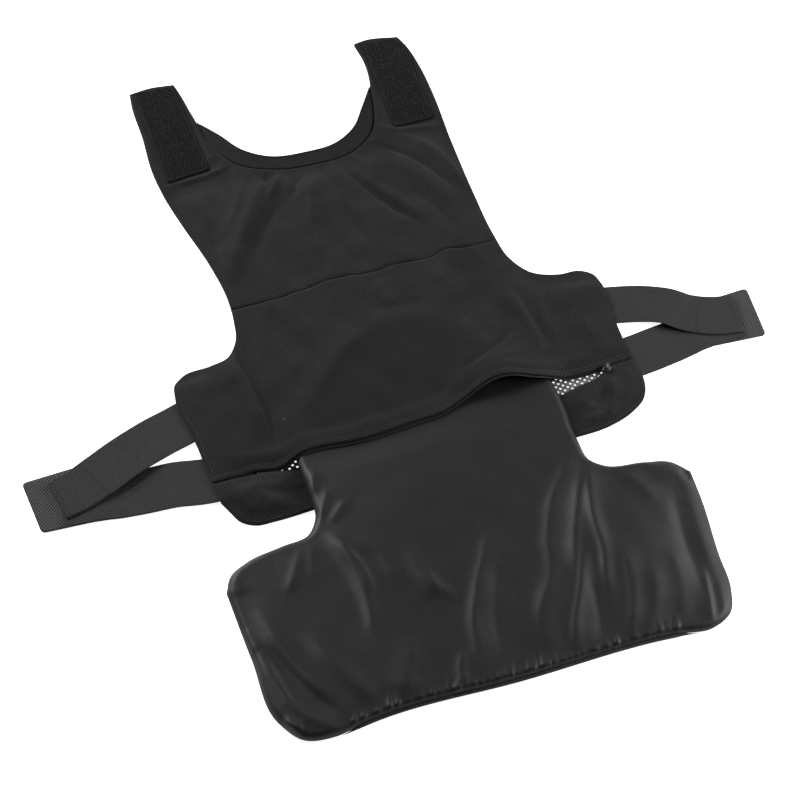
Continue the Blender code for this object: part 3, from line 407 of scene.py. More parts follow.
LEFT_CURVE, RIGHT_CURVE = outline(LEFT_EDGE), outline(RIGHT_EDGE)
LEFT_RING, RIGHT_RING = rounded(LEFT_PATCH, PATCH_CORNER), rounded(RIGHT_PATCH, PATCH_CORNER)
FRONT_NECK_CURVE, BACK_NECK_CURVE = outline(FRONT_NECK), outline(BACK_NECK)
NECK_LENGTH = np.linalg.norm(np.diff(FRONT_NECK_CURVE, axis=0), axis=1).sum()
SEAM_CURVE, LIP_CURVE, TAIL_CURVE = outline(CHEST_SEAM), outline(LIP), outline(TAIL_TOP)
PACK_CURVE = outline(PACK_OUTLINE, closed=True)
PACK_COARSE = outline(PACK_OUTLINE, FOLD_STEP, closed=True)
WHOLE_FRONT = np.concatenate([
    outline(LEFT_EDGE, COARSE_STEP)[:-1],
    outline(FRONT_NECK, COARSE_STEP)[:-1],
    outline(RIGHT_EDGE, COARSE_STEP),
])
FRONT_LINES, TAIL_LINES, PACK_LINES = map(fold_lines, (FRONT_FOLDS, TAIL_FOLDS, PACK_FOLDS))


def height_of(curve, x):
    """The y of a curve that runs from left to right, at each x."""
    return np.interp(x, curve[:, 0], curve[:, 1])


def ground(x, y):
    """Underside of the vest: flat, and slanting up under the shoulder straps."""
    bend = STRAP_BEND_END - STRAP_BEND_START
    into = np.clip(y - STRAP_BEND_START, 0.0, bend)
    return STRAP_SLOPE * (into**2 / (2.0 * bend) + np.maximum(y - STRAP_BEND_END, 0.0)) + 0.0 * x


def on_net(x, y):
    """Just above the top of the net."""
    return ground(x, y) + NET_CLOTH + GAP


def root_lift(x, y):
    """How much the front stands up over the roots of the elastic straps."""
    out = ease((np.abs(x) - ROOT_INNER_X) / (ROOT_OUTER_X - ROOT_INNER_X))
    low, high = ease((y - ROOT_LOW_Y) / ROOT_RAMP), ease((ROOT_HIGH_Y + ROOT_RAMP - y) / ROOT_RAMP)
    return ROOT_LIFT * out * low * high


def zip_room(curve, x, y):
    """How much a cloth stands up along its edge to make room for the zip tape under it."""
    near = ease((ZIP_ROOM_REACH - np.abs(y - height_of(curve, x))) / ZIP_ROOM_RAMP)
    middle, half = (ZIP_LEFT_X + ZIP_RIGHT_X) / 2, (ZIP_RIGHT_X - ZIP_LEFT_X) / 2
    between_ends = ease((half + ZIP_END_REACH - np.abs(x - middle)) / ZIP_END_RAMP)
    return (TAPE_CLOTH + 1.5 * GAP) * near * between_ends


def pack_rest(y):
    """What the pack lies on: the floor, then the tail of the front, then the net in the pocket."""
    tail, pocket = NET_CLOTH + TAPE_CLOTH + COVER_CLOTH + 4 * GAP, NET_CLOTH + GAP
    over_hem = ease((y - HEM_CLIMB_Y) / (HEM_TOP_Y - HEM_CLIMB_Y))
    dropped = ease((y - POCKET_DROP_Y) / (POCKET_FLOOR_Y - POCKET_DROP_Y))
    return over_hem * (tail + (pocket - tail) * dropped)


def pack_under(x, y):
    """Underside of the pack: it lifts off what it lies on toward its rim."""
    depth = np.maximum(depth_inside(PACK_CURVE, x, y), 0.0)
    return pack_rest(y) + PACK_RIM_LIFT * (1.0 - ease(depth / PACK_RIM_UNDER))


def pack_over(x, y, depth):
    """Top of the pack without its folds: an even thickness that slopes down to a thin rim, as
    1 - (1 - d / reach)^power of the depth d; sharper along the bottom seam, slower on the right."""
    reach = PACK_RIM_OVER - PACK_SEAM_SHARPER * ease((PACK_SEAM_START - y) / PACK_SEAM_RAMP)
    reach = reach + PACK_RIM_RIGHT * ease((x - PACK_RIGHT_X) / PACK_RIGHT_RAMP)
    rim = 1.0 - (1.0 - np.clip(depth / reach, 0.0, 1.0)) ** PACK_RIM_POWER
    edge = PACK_RIM_LIFT + PACK_RIM_WALL
    return pack_rest(y) + edge + (PACK_THICKNESS - edge) * rim


def gathers(x, y):
    """Short soft ridges that run from the neckline into the yoke, square to it or leaning a little.
    Across a ridge the height goes as in folds, and it rises and fades along it as an S."""
    far, share, side, _ = nearest(FRONT_NECK_CURVE, x, y, closed=False)
    height = np.zeros(len(far))
    for at, reach, rise, wide, lean in zip(*GATHERS):
        off = (share - at) * NECK_LENGTH - lean * far
        bell = np.exp(-(np.hypot(off, GATHER_CREST) - GATHER_CREST) / wide)
        height += rise * bell * ease(1.0 - far / reach) * ease(far / GATHER_START)
    return (height * (side < 0)).reshape(np.shape(x))


def over_pack(x, y):
    """1 where the front lies over the pack in the pocket, 0 beside it, with a drape between."""
    return ease((depth_inside(PACK_COARSE, x, y) + DRAPE_OUT) / (DRAPE_OUT + DRAPE_IN))


def ripple(x, y):
    """Faint unevenness of soft cloth: three crossed sine waves, 30 to 43 mm long."""
    return sum(share * np.sin(x / across + y / up + phase) for share, across, up, phase in RIPPLES)


def hump(away, height, half):
    """A bell across a line: height * exp(-(away / half)^2)."""
    return height * np.exp(-((away / half) ** 2))


def cover_under(x, y):
    """Underside of the front: on the net at its edges, slack inside and draped over the pack. The lip is
    lifted as a bell along its line and an S behind it."""
    depth, from_lip = np.maximum(depth_inside(WHOLE_FRONT, x, y), 0.0), y - height_of(LIP_CURVE, x)
    inner = ease(depth / SLACK_REACH) * ease((STRAP_BEND_END - y) / SLACK_STRAP_RAMP)
    inner = inner * ease(from_lip / LIP_CALM)
    over = over_pack(x, y)
    slack = SLACK + (SLACK_ON_PACK - SLACK) * over
    wave = np.sin(x / CHEST_WAVE + CHEST_SWAY * np.sin(x / CHEST_SWAY_WAVE))
    pucker = hump(y - height_of(SEAM_CURVE, x), CHEST_PUCKER, CHEST_REACH) * wave
    in_patch = np.maximum(depth_inside(LEFT_RING, x, y), depth_inside(RIGHT_RING, x, y))
    creases = ease(depth / FOLD_RIM) * ease((TAPE_CLEAR - in_patch) / TAPE_RAMP)
    creases = creases * (folds(FRONT_LINES, x, y) + gathers(x, y))
    loose = np.maximum(inner * (slack + KNIT_RIPPLE * ripple(x, y) + pucker) + creases, 0.0)
    bulge = np.maximum(over * (pack_rest(y) + PACK_THICKNESS - NET_CLOTH), 0.0)
    lip = hump(x - LIP_RISE_X, LIP_RISE, LIP_RISE_SPAN) * ease(1.0 - from_lip / LIP_RISE_DEPTH)
    room = np.maximum(zip_room(LIP_CURVE, x, y), root_lift(x, y))
    return on_net(x, y) + room + loose + bulge + lip


def cover_over(x, y):
    """Top of the front: doubled at the straps, sunk along the chest seam, hemmed along the lip."""
    doubling = STRAP_DOUBLING * ease((y - STRAP_BEND_START) / (STRAP_BEND_END - STRAP_BEND_START))
    from_seam, from_lip = y - height_of(SEAM_CURVE, x), y - height_of(LIP_CURVE, x)
    sunk = hump(from_seam, SEAM_SUNK, SEAM_HALF) + hump(from_lip - HEM_LINE, HEM_SUNK, HEM_HALF)
    hem = HEM_RISE * (1.0 - ease((from_lip - HEM_WIDE) / HEM_RAMP)) * (y < 0)
    return cover_under(x, y) + COVER_CLOTH + doubling - sunk + hem


def tail_under(x, y):
    """Underside of the tail of the front: on the net, and puffed out beside the pack."""
    inner = ease(np.maximum(depth_inside(WHOLE_FRONT, x, y), 0.0) / TAIL_RAMP)
    beside = ease((-depth_inside(PACK_COARSE, x, y) - TAIL_CLEAR) / TAIL_RAMP)
    below = ease((height_of(TAIL_CURVE, x) - y) / TAIL_RAMP)
    puff = inner * beside * below * np.maximum(TAIL_PUFF + TAIL_CREASE * folds(TAIL_LINES, x, y), 0.0)
    return on_net(x, y) + np.maximum(zip_room(TAIL_CURVE, x, y), root_lift(x, y)) + puff


def patch_under(x, y):
    """Just above the doubled shoulder straps."""
    return on_net(x, y) + COVER_CLOTH + STRAP_DOUBLING + GAP


def raised(under, thickness):
    """The surface that lies this much above another."""
    return lambda x, y: under(x, y) + thickness


def placed(points):
    """Millimetres of the plan as metres of the shared frame."""
    return (np.asarray(points, float) - (CENTRE_X, CENTRE_Y, 0.0)) * MM


def linked(name, data):
    """A new object in the scene."""
    made = bpy.data.objects.new(name, data)
    bpy.context.scene.collection.objects.link(made)
    return made


def mesh_piece(name, points, faces, finish, plan=None, marks=None):
    """An object of points in plan millimetres and faces of equal size, or a list of such groups.

    plan gives each point's place on the cloth, in mm, for the weave, and marks a value per point."""
    groups = [np.asarray(g, np.int32) for g in (faces if isinstance(faces, list) else [faces])]
    corner = np.concatenate([g.ravel() for g in groups])
    size = np.concatenate([np.full(len(g), g.shape[1], np.int32) for g in groups])
    mesh = bpy.data.meshes.new(name)
    mesh.vertices.add(len(points))
    mesh.vertices.foreach_set("co", placed(points).astype(np.float32).ravel())
    mesh.loops.add(len(corner))
    mesh.loops.foreach_set("vertex_index", corner)
    mesh.polygons.add(len(size))
    start = np.concatenate([[0], np.cumsum(size)[:-1]])
    mesh.polygons.foreach_set("loop_start", start.astype(np.int32))
    mesh.polygons.foreach_set("loop_total", size)
    mesh.polygons.foreach_set("use_smooth", np.ones(len(size), bool))
    if plan is not None:
        layer = mesh.uv_layers.new(name="cloth")
        spots = np.asarray(plan, float)[corner] * MM
        layer.data.foreach_set("uv", spots.astype(np.float32).ravel())
    if marks is not None:
        layer = mesh.attributes.new("tone_and_painted_light", "FLOAT", "POINT")
        layer.data.foreach_set("value", np.asarray(marks, np.float32))
    mesh.update(calc_edges=True)
    mesh.validate()
    mesh.materials.append(finish)
    piece = linked(name, mesh)
    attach(piece, "root")
    return piece


def circle(count):
    """Points at equal turns round a circle of radius 1, from (1, 0) on."""
    turn = np.arange(count) * TURN / count
    return np.stack([np.cos(turn), np.sin(turn)], axis=1)


def rotated(plan, angle):
    """Points of the plan turned about its origin: (x cos - y sin, x sin + y cos)."""
    c, s = math.cos(angle), math.sin(angle)
    return plan @ np.array([[c, s], [-s, c]])


def band_faces(rings, sides, closed=False, turned=False):
    """Quads between rings of points, from each ring to the next and, if closed, from the last to the
    first. A quad's corners go along its ring first or, if turned, on to the next ring first."""
    number = np.arange(rings * sides).reshape(rings, sides)
    ahead = np.roll(number, -1, axis=0)
    quads = np.stack([number, np.roll(number, -1, axis=1), np.roll(ahead, -1, axis=1), ahead], axis=-1)
    quads = (quads if closed else quads[:-1]).reshape(-1, 4)
    return quads[:, [0, 3, 2, 1]] if turned else quads


def cut_lattice(ring, pitch, windows=()):
    """A square lattice cut to an outline: points, kept cells, and each point's depth in the outline.

    Points of the cut rim move onto the outline, its corners get a point each, and the two rows next to
    the rim are evened out."""
    low, high = ring.min(axis=0) - 2 * pitch, ring.max(axis=0) + 2 * pitch
    x, y = np.meshgrid(np.arange(low[0], high[0], pitch), np.arange(low[1], high[1], pitch))
    depth = depth_inside(ring, x, y)
    near = depth > -RIM_KEEP * pitch
    cell = near[:-1, :-1] & near[1:, :-1] & near[:-1, 1:] & near[1:, 1:]
    middle_x, middle_y = x[:-1, :-1] + pitch / 2, y[:-1, :-1] + pitch / 2
    for left, right, bottom, top in windows:
        cell &= ~((middle_x > left) & (middle_x < right) & (middle_y > bottom) & (middle_y < top))
    wide = np.pad(cell, 1).astype(int)
    around = wide[:-1, :-1] + wide[1:, :-1] + wide[:-1, 1:] + wide[1:, 1:]
    rim = (around > 0) & (around < 4) & (np.abs(depth) < RIM_MOVE * pitch)
    spot = nearest(ring, x[rim], y[rim])[3]
    x[rim], y[rim] = spot[:, 0], spot[:, 1]
    ahead, back = np.roll(ring, -1, axis=0) - ring, ring - np.roll(ring, 1, axis=0)
    cross = back[:, 0] * ahead[:, 1] - back[:, 1] * ahead[:, 0]
    turn = np.arctan2(cross, (back * ahead).sum(axis=1))
    rows, columns = np.nonzero(rim)
    for corner in ring[np.abs(turn) > SHARP_TURN]:
        k = np.hypot(x[rim] - corner[0], y[rim] - corner[1]).argmin()
        x[rows[k], columns[k]], y[rows[k], columns[k]] = corner
    close = np.pad(rim, 2)
    close = sum(
        close[2 + i : close.shape[0] - 2 + i, 2 + j : close.shape[1] - 2 + j]
        for i in range(-2, 3)
        for j in range(-2, 3)
    )
    free = (around == 4) & (close > 0)
    for _ in range(EVEN_ROUNDS):
        for grid in (x, y):
            even = sum(np.roll(grid, s, axis=a) for s in (1, -1) for a in (0, 1)) / 4
            grid[free] = even[free]
    depth = np.where(rim, 0.0, np.maximum(depth, 0.0))
    return x, y, depth, cell, around > 0


def shell_faces(cell, used):
    """Faces of a closed shell over the kept cells: tops, undersides and the wall round every rim."""
    number = np.cumsum(used.ravel()).reshape(used.shape) - 1
    count = int(used.sum())
    i, j = np.nonzero(cell)
    quad = np.stack([number[i, j], number[i, j + 1], number[i + 1, j + 1], number[i + 1, j]], axis=1)
    open_cell = ~np.pad(cell, 1)
    sides = [
        (open_cell[:-2, 1:-1], 0, 1),
        (open_cell[1:-1, 2:], 1, 2),
        (open_cell[2:, 1:-1], 2, 3),
        (open_cell[1:-1, :-2], 3, 0),
    ]
    walls = []
    for free, a, b in sides:
        edge = quad[free[i, j]][:, [a, b]]
        walls.append(np.concatenate([edge, edge[:, ::-1] + count], axis=1))
    return np.concatenate([quad + count, quad[:, ::-1], *walls])


def shell(name, ring, under, over, pitch, finish,
          roll=2.6, wall=0.5, windows=(), turn=0.0, marks=None):
    """A closed cloth: heights under(x, y) and over(x, y), drawn together to wall over the last roll mm.

    The half thickness follows a quarter circle from the rim inwards, so the edge is round."""
    x, y, depth, cell, used = cut_lattice(ring, pitch, windows)
    x, y, depth = x[used], y[used], depth[used]
    low, high = under(x, y), over(x, y)
    middle, half = (low + high) / 2, (high - low) / 2
    round_off = np.sqrt(1.0 - (1.0 - np.clip(depth / roll, 0.0, 1.0)) ** 2)
    half = np.minimum(wall / 2 + (half - wall / 2) * round_off, half)
    points = np.concatenate([np.column_stack([x, y, middle + way * half]) for way in (-1, 1)])
    value = None if marks is None else np.tile(marks(x, y), 2)
    plan = rotated(points[:, :2], -turn)
    return mesh_piece(name, points, shell_faces(cell, used), finish, plan, value)


def slab(name, low, high, finish, plan):
    """A closed body between two grids of points, low and high, of (along, across, 3)."""
    n, m = low.shape[:2]
    faces = shell_faces(np.ones((n - 1, m - 1), bool), np.ones((n, m), bool))
    if np.cross(high[1, 0] - high[0, 0], high[0, 1] - high[0, 0])[2] > 0:
        faces = faces[:, ::-1]
    points = np.concatenate([low.reshape(-1, 3), high.reshape(-1, 3)])
    return mesh_piece(name, points, faces, finish, np.tile(plan.reshape(-1, 2), (2, 1)))


def frames_of(path):
    """Unit vectors along a path and level across it, to its right."""
    run = np.gradient(path, axis=0)
    run = run / np.linalg.norm(run, axis=1)[:, None]
    side = np.stack([run[:, 1], -run[:, 0], np.zeros(len(run))], axis=1)
    return run, side / np.linalg.norm(side, axis=1)[:, None]


def lengths(path):
    """How far along a path each of its points is."""
    return np.concatenate([[0.0], np.cumsum(np.linalg.norm(np.diff(path, axis=0), axis=1))])


def spaced(path, step):
    """Points at equal steps along a path."""
    length = lengths(path)
    at = np.linspace(0.0, length[-1], max(2, round(length[-1] / step) + 1))
    return np.stack([np.interp(at, length, column) for column in path.T], axis=1)


def tube(name, rings, finish, turned=False):
    """A closed body through rings of points, (rings, sides, 3), each end drawn to the ring's middle."""
    n, k = rings.shape[:2]
    number = np.arange(n * k).reshape(n, k)
    after = np.roll(number, -1, axis=1)
    first = np.stack([np.full(k, n * k), after[0], number[0]], axis=1)
    last = np.stack([np.full(k, n * k + 1), number[-1], after[-1]], axis=1)
    groups = [band_faces(n, k), np.concatenate([first, last])]
    if turned:
        groups = [group[:, ::-1] for group in groups]
    points = np.concatenate([rings.reshape(-1, 3), rings[[0, -1]].mean(axis=1)])
    return mesh_piece(name, points, groups, finish)


def sweep(name, path, section, finish, swell=1.0):
    """A closed section of (right, up) pairs carried along a path and scaled by swell on the way."""
    side = frames_of(path)[1]
    section = np.asarray(section, float)
    rings = section[None] * (swell * np.ones(len(path)))[:, None, None]
    points = path[:, None] + rings[..., :1] * side[:, None] + rings[..., 1:] * UP
    ahead = np.roll(section, -1, axis=0)
    area = (section[:, 0] * ahead[:, 1] - ahead[:, 0] * section[:, 1]).sum()
    return tube(name, points, finish, turned=area > 0)


def repeated(name, centres, along, across, up, form, faces, finish, slot, marks=None):
    """One small form at many places: centre + form's (x, y, z) along three vectors of its own each.

    marks gives each place one value."""
    axes = [np.broadcast_to(axis, centres.shape)[:, None] for axis in (along, across, up)]
    points = centres[:, None] + sum(form[None, :, i : i + 1] * axis for i, axis in enumerate(axes))
    every = faces[None] + (np.arange(len(centres)) * len(form))[:, None, None]
    every = every.reshape(-1, faces.shape[1])
    marks = None if marks is None else np.repeat(marks, len(form))
    return mesh_piece(name, points.reshape(-1, 3), every, finish, marks=marks)


def grain_form(length, width, height, lift=0.0, stations=5, sides=6):
    """A small closed grain along x: ovals that swell from a point and back, and its faces. Their size
    goes as sqrt(1 - |t|^3), with t from -1 to 1.

    Its middle stands lift above its ends, as a stitch does between its two holes."""
    t = np.linspace(-1.0, 1.0, stations)
    size = np.sqrt(np.maximum(1.0 - np.abs(t) ** 3, 0.02))
    c, s = circle(sides).T
    x = np.repeat(t * length / 2, sides)
    y = (size[:, None] * c * width / 2).ravel()
    z = (size[:, None] * s * height / 2 + lift * (1 - t[:, None] ** 2)).ravel()
    first, last = np.arange(sides), np.arange(sides) + (stations - 1) * sides
    caps = [first[[0, 1, 2, 3]], first[[3, 4, 5, 0]], last[[3, 2, 1, 0]], last[[0, 5, 4, 3]]]
    faces = np.concatenate([band_faces(stations, sides, turned=True), caps])[:, ::-1]
    return np.stack([x, y, z], axis=1), faces


def stitches(name, paths, stitch, finish, slot, unevenness=0.05, arch=0.18):
    """A row of stitches along each path: small arched grains in line, a little apart and uneven."""
    length, space, width, height = stitch
    centres, along, across = [], [], []
    for path in paths:
        spots = spaced(path, length + space)
        run, side = frames_of(spots)
        for rows, values in zip((centres, along, across), (spots, run, side)):
            rows.append((values[:-1] + values[1:]) / 2)
    centres, along, across = map(np.concatenate, (centres, along, across))
    turn = CHANCE.normal(0.0, unevenness, len(along))[:, None]
    along, across = along + turn * across, across - turn * along
    form, faces = grain_form(length, width, height, arch)
    return repeated(name, centres, along, across, UP, form, faces, finish, slot)


def oval(width, height, count):
    """A section: an oval of this width and height."""
    return circle(count) * (width / 2, height / 2)


def on_top(plan, over, lift):
    """A path over a cloth: its plan with the height of the cloth's top, and lift more."""
    return np.column_stack([plan, over(plan[:, 0], plan[:, 1]) + lift])


def inset(curve, distance):
    """A curve moved sideways, to its right where distance is above 0."""
    run = np.gradient(curve, axis=0)
    side = np.stack([run[:, 1], -run[:, 0]], axis=1) / np.linalg.norm(run, axis=1)[:, None]
    return curve + distance * side


def node_group(name, inputs, outputs):
    """An empty shader group with named inputs, each with its first value, and named outputs."""
    made = bpy.data.node_groups.new(name, "ShaderNodeTree")
    for label, kind, value in inputs:
        socket = made.interface.new_socket(label, in_out="INPUT", socket_type="NodeSocket" + kind)
        if value is not None:
            socket.default_value = value
    for label, kind in outputs:
        made.interface.new_socket(label, in_out="OUTPUT", socket_type="NodeSocket" + kind)
    return made, made.nodes.new("NodeGroupInput"), made.nodes.new("NodeGroupOutput")


def add(tree, kind, values=(), **settings):
    """A node with its settings, whose inputs take a number, a vector or another node's output."""
    node = tree.nodes.new("ShaderNode" + kind)
    for key, value in settings.items():
        setattr(node, key, value)
    for key, value in (values.items() if isinstance(values, dict) else enumerate(values)):
        if isinstance(value, bpy.types.NodeSocket):
            tree.links.new(value, node.inputs[key])
        else:
            node.inputs[key].default_value = value
    return node


def use(tree, group, plan, **values):
    """A shader group placed on the plan with its own values; returns its outputs."""
    return add(tree, "Group", {"Vector": plan, **values}, node_tree=group).outputs


def maths(tree, operation, *values):
    """The result of a Math node."""
    return add(tree, "Math", values, operation=operation).outputs[0]


def vectors(tree, operation, *values):
    """The result of a Vector Math node."""
    node = add(tree, "VectorMath", values, operation=operation)
    return node.outputs["Value" if operation == "LENGTH" else "Vector"]


def blend(tree, share, first, second):
    """A colour between two, each three numbers or a node's output, by a share."""
    colours = [c if isinstance(c, bpy.types.NodeSocket) else (*c, 1.0) for c in (first, second)]
    return add(tree, "Mix", {0: share, 6: colours[0], 7: colours[1]}, data_type="RGBA").outputs[2]


def staggered_dots():
    """Group: 1 in the middle of round dots in staggered rows and 0 between them.

    The place is folded into one cell of a lattice, and again half a cell on, and the nearer of the two
    middles gives the distance that fades the dot out."""
    tree, given, out = node_group(
        "staggered_dots",
        [("Vector", "Vector", None), ("Across", "Float", 0.0036), ("Rows", "Float", 0.0022),
         ("Radius", "Float", 0.0009)],
        [("Dots", "Float")],
    )
    radius = given.outputs["Radius"]
    two_rows = maths(tree, "MULTIPLY", given.outputs["Rows"], 2.0)
    pitch = add(tree, "CombineXYZ", [given.outputs["Across"], two_rows, 1.0]).outputs[0]
    unit = vectors(tree, "MULTIPLY", vectors(tree, "DIVIDE", given.outputs["Vector"], pitch), (1, 1, 0))
    distances = []
    for shift in (0.0, 0.5):
        cell = vectors(tree, "FRACTION", vectors(tree, "ADD", unit, (shift, shift, 0.0)))
        cell = vectors(tree, "MULTIPLY", vectors(tree, "SUBTRACT", cell, (0.5, 0.5, 0.0)), pitch)
        distances.append(vectors(tree, "LENGTH", cell))
    fade = {
        "Value": maths(tree, "MINIMUM", *distances),
        "From Min": radius, "From Max": maths(tree, "MULTIPLY", radius, 0.45),
    }
    dots = add(tree, "MapRange", fade, interpolation_type="SMOOTHSTEP")
    tree.links.new(dots.outputs[0], out.inputs["Dots"])
    return tree


def cloth_grain():
    """Group: height of fine yarn, and a slow change of tone, both from noise on the cloth's own plan."""
    tree, given, out = node_group(
        "cloth_grain",
        [("Vector", "Vector", None), ("Yarns", "Float", 900.0), ("Patches", "Float", 14.0)],
        [("Height", "Float"), ("Tone", "Float")],
    )
    layers = [("Yarns", 2.0, 0.6, "Height"), ("Patches", 4.0, 0.65, "Tone")]
    for scale, detail, roughness, result in layers:
        noise = {"Scale": given.outputs[scale], "Detail": detail, "Roughness": roughness}
        noise = add(tree, "TexNoise", {"Vector": given.outputs["Vector"], **noise})
        tree.links.new(noise.outputs["Fac"], out.inputs[result])
    return tree


def woven_ribs():
    """Group: round ribs along one direction of the plan crossed by finer picks, as a height 0 to 1."""
    tree, given, out = node_group(
        "woven_ribs",
        [("Vector", "Vector", None), ("Rib", "Float", 0.0016), ("Pick", "Float", 0.0008)],
        [("Height", "Float")],
    )
    parts = add(tree, "SeparateXYZ", [given.outputs["Vector"]])
    waves = []
    for axis, size in (("Y", "Rib"), ("X", "Pick")):
        turns = maths(tree, "DIVIDE", parts.outputs[axis], given.outputs[size])
        angle = maths(tree, "MULTIPLY", turns, TURN)
        waves.append(maths(tree, "MULTIPLY_ADD", maths(tree, "SINE", angle), 0.5, 0.5))
    both = maths(tree, "MULTIPLY_ADD", waves[1], 0.35, maths(tree, "MULTIPLY", waves[0], 0.65))
    tree.links.new(both, out.inputs["Height"])
    return tree


def lint_specks():
    """Group: 1 on a few pale specks of lint, which are the middles of rare cells of a broken lattice."""
    tree, given, out = node_group(
        "lint_specks", [("Vector", "Vector", None), ("Spacing", "Float", 46.0)], [("Specks", "Float")]
    )
    cells = {"Vector": given.outputs["Vector"], "Scale": given.outputs["Spacing"], "Randomness": 1.0}
    cells = add(tree, "TexVoronoi", cells).outputs
    rare = maths(tree, "GREATER_THAN", add(tree, "SeparateColor", [cells["Color"]]).outputs[0], 0.94)
    small = maths(tree, "LESS_THAN", cells["Distance"], 0.02)
    tree.links.new(maths(tree, "MULTIPLY", rare, small), out.inputs["Specks"])
    return tree


DOTS, GRAIN, RIBS, LINT = staggered_dots(), cloth_grain(), woven_ribs(), lint_specks()
LINT_GREY = (0.32, 0.32, 0.33)


def finish_of(name, **constants):
    """A material with its shader's own constants set; returns it, its tree and its shader."""
    made = bpy.data.materials.new(name)
    made.use_nodes = True
    tree = made.node_tree
    shader = tree.nodes["Principled BSDF"]
    for key, value in constants.items():
        shader.inputs[key.replace("_", " ")].default_value = value
    return made, tree, shader


def relief(tree, shader, height, distance, strength=1.0):
    """Bumps of a height, up to this many metres."""
    bump = add(tree, "Bump", {"Height": height, "Distance": distance, "Strength": strength})
    tree.links.new(bump.outputs[0], shader.inputs["Normal"])


def coloured(tree, shader, colour, lint_plan=None):
    """The shader's colour, with a few pale specks of lint if a plan for them is given."""
    if lint_plan is not None:
        colour = blend(tree, use(tree, LINT, lint_plan)["Specks"], colour, LINT_GREY)
    tree.links.new(colour, shader.inputs["Base Color"])


def on_cloth(tree):
    """The piece's own plan of its cloth."""
    return add(tree, "UVMap", uv_map="cloth").outputs[0]


def on_object(tree):
    """The place in the shared frame."""
    return add(tree, "TexCoord").outputs["Object"]


def knit_finish():
    """Pique knit: dark ground, and small dimples painted lighter, a painted highlight of the light they
    catch, that fade where the cloth is stretched.
    """
    made, tree, shader = finish_of(
        "pique_knit", Roughness=0.85, Specular_IOR_Level=0.12, Sheen_Weight=0.03, Sheen_Roughness=0.45
    )
    plan = on_cloth(tree)
    grain = use(tree, GRAIN, plan, Yarns=1500.0, Patches=22.0)
    dots = use(tree, DOTS, plan, Across=0.0042, Rows=0.0030)["Dots"]
    slack = add(tree, "Attribute", attribute_name="tone_and_painted_light").outputs["Fac"]
    patchy = add(tree, "MapRange", {"Value": grain["Tone"], "From Min": 0.38, "From Max": 0.66})
    dots = maths(tree, "MULTIPLY", dots, maths(tree, "MULTIPLY", slack, patchy.outputs[0]))
    tight = maths(tree, "MULTIPLY", grain["Tone"], maths(tree, "MULTIPLY_ADD", slack, 0.4, 0.6))
    base = blend(tree, tight, (0.0060, 0.0060, 0.0063), (0.0145, 0.0145, 0.0149))
    # Painted highlight: the dimples are painted lighter to stand for the light they catch, scaled by the
    # per-point mark.
    lit = blend(tree, maths(tree, "MULTIPLY", dots, 0.5), base, (0.058, 0.058, 0.059))
    coloured(tree, shader, lit, plan)
    height = maths(tree, "MULTIPLY_ADD", dots, -0.8, maths(tree, "MULTIPLY", grain["Height"], 0.6))
    relief(tree, shader, height, 0.0004, 0.7)
    return made


def plain_finish(name, dark, light, roughness, yarns, depth, gloss=0.5, metallic=0.0):
    """An even finish: fine grain, a slow change of tone and a little lint."""
    made, tree, shader = finish_of(
        name, Roughness=roughness, Specular_IOR_Level=gloss, Metallic=metallic
    )
    plan = on_object(tree)
    grain = use(tree, GRAIN, plan, Yarns=yarns, Patches=18.0)
    coloured(tree, shader, blend(tree, grain["Tone"], dark, light), plan)
    relief(tree, shader, grain["Height"], depth)
    return made


def pile_finish():
    """Loop pile: each loop from black to grey by its own mark, which holds its random tone and a painted
    light falloff.
    """
    made, tree, shader = finish_of("loop_pile", Roughness=0.75, Specular_IOR_Level=0.3)
    mark = add(tree, "Attribute", attribute_name="tone_and_painted_light").outputs["Fac"]
    grain = use(tree, GRAIN, on_object(tree), Yarns=500.0, Patches=60.0)
    mixed = maths(tree, "MULTIPLY_ADD", grain["Tone"], 0.3, maths(tree, "MULTIPLY", mark, 0.8))
    # The mark mixes each loop's random tone with a painted light falloff, lighter toward the back of the
    # patch.
    coloured(tree, shader, blend(tree, mixed, (0.004, 0.004, 0.004), (0.056, 0.056, 0.056)))
    relief(tree, shader, grain["Height"], 0.0002)
    return made


def ribbed_finish(name, dark, light, roughness, rib, pick, depth, gloss=0.5):
    """A woven tape: ribs and picks along its own plan, painted lighter on the crowns and darker in the
    grooves, a painted light and shade of the weave.
    """
    made, tree, shader = finish_of(name, Roughness=roughness, Specular_IOR_Level=gloss)
    plan = on_cloth(tree)
    height = use(tree, RIBS, plan, Rib=rib, Pick=pick)["Height"]
    grain = use(tree, GRAIN, plan, Yarns=1100.0, Patches=30.0)
    # Painted light and shade: the colour follows the rib height, lighter on the crowns and darker in the
    # grooves.
    mixed = maths(tree, "MULTIPLY_ADD", grain["Tone"], 0.5, maths(tree, "MULTIPLY", height, 0.5))
    coloured(tree, shader, blend(tree, mixed, dark, light), plan)
    relief(tree, shader, maths(tree, "MULTIPLY_ADD", grain["Height"], 0.3, height), depth)
    return made


def net_finish():
    """Warp-knit net: staggered round holes, painted nearly black as painted shade of the hollow under
    each, and sunk in the yarn.
    """
    made, tree, shader = finish_of("warp_net", Roughness=0.8, Specular_IOR_Level=0.25)
    plan = on_object(tree)
    sizes = {"Across": HOLE_PITCH_X * MM, "Rows": HOLE_PITCH_Y * MM, "Radius": HOLE_WIDE / 2 * MM}
    holes = use(tree, DOTS, plan, **sizes)["Dots"]
    grain = use(tree, GRAIN, plan, Yarns=1400.0, Patches=16.0)
    base = blend(tree, grain["Tone"], (0.018, 0.018, 0.019), (0.030, 0.030, 0.031))
    # Painted shade: the holes are painted nearly black, standing in for the shaded hollow under each.
    coloured(tree, shader, blend(tree, holes, base, (0.003, 0.003, 0.003)))
    yarn = maths(tree, "MULTIPLY", grain["Height"], 0.5)
    relief(tree, shader, maths(tree, "MULTIPLY_ADD", holes, -1.0, yarn), 0.0005)
    return made


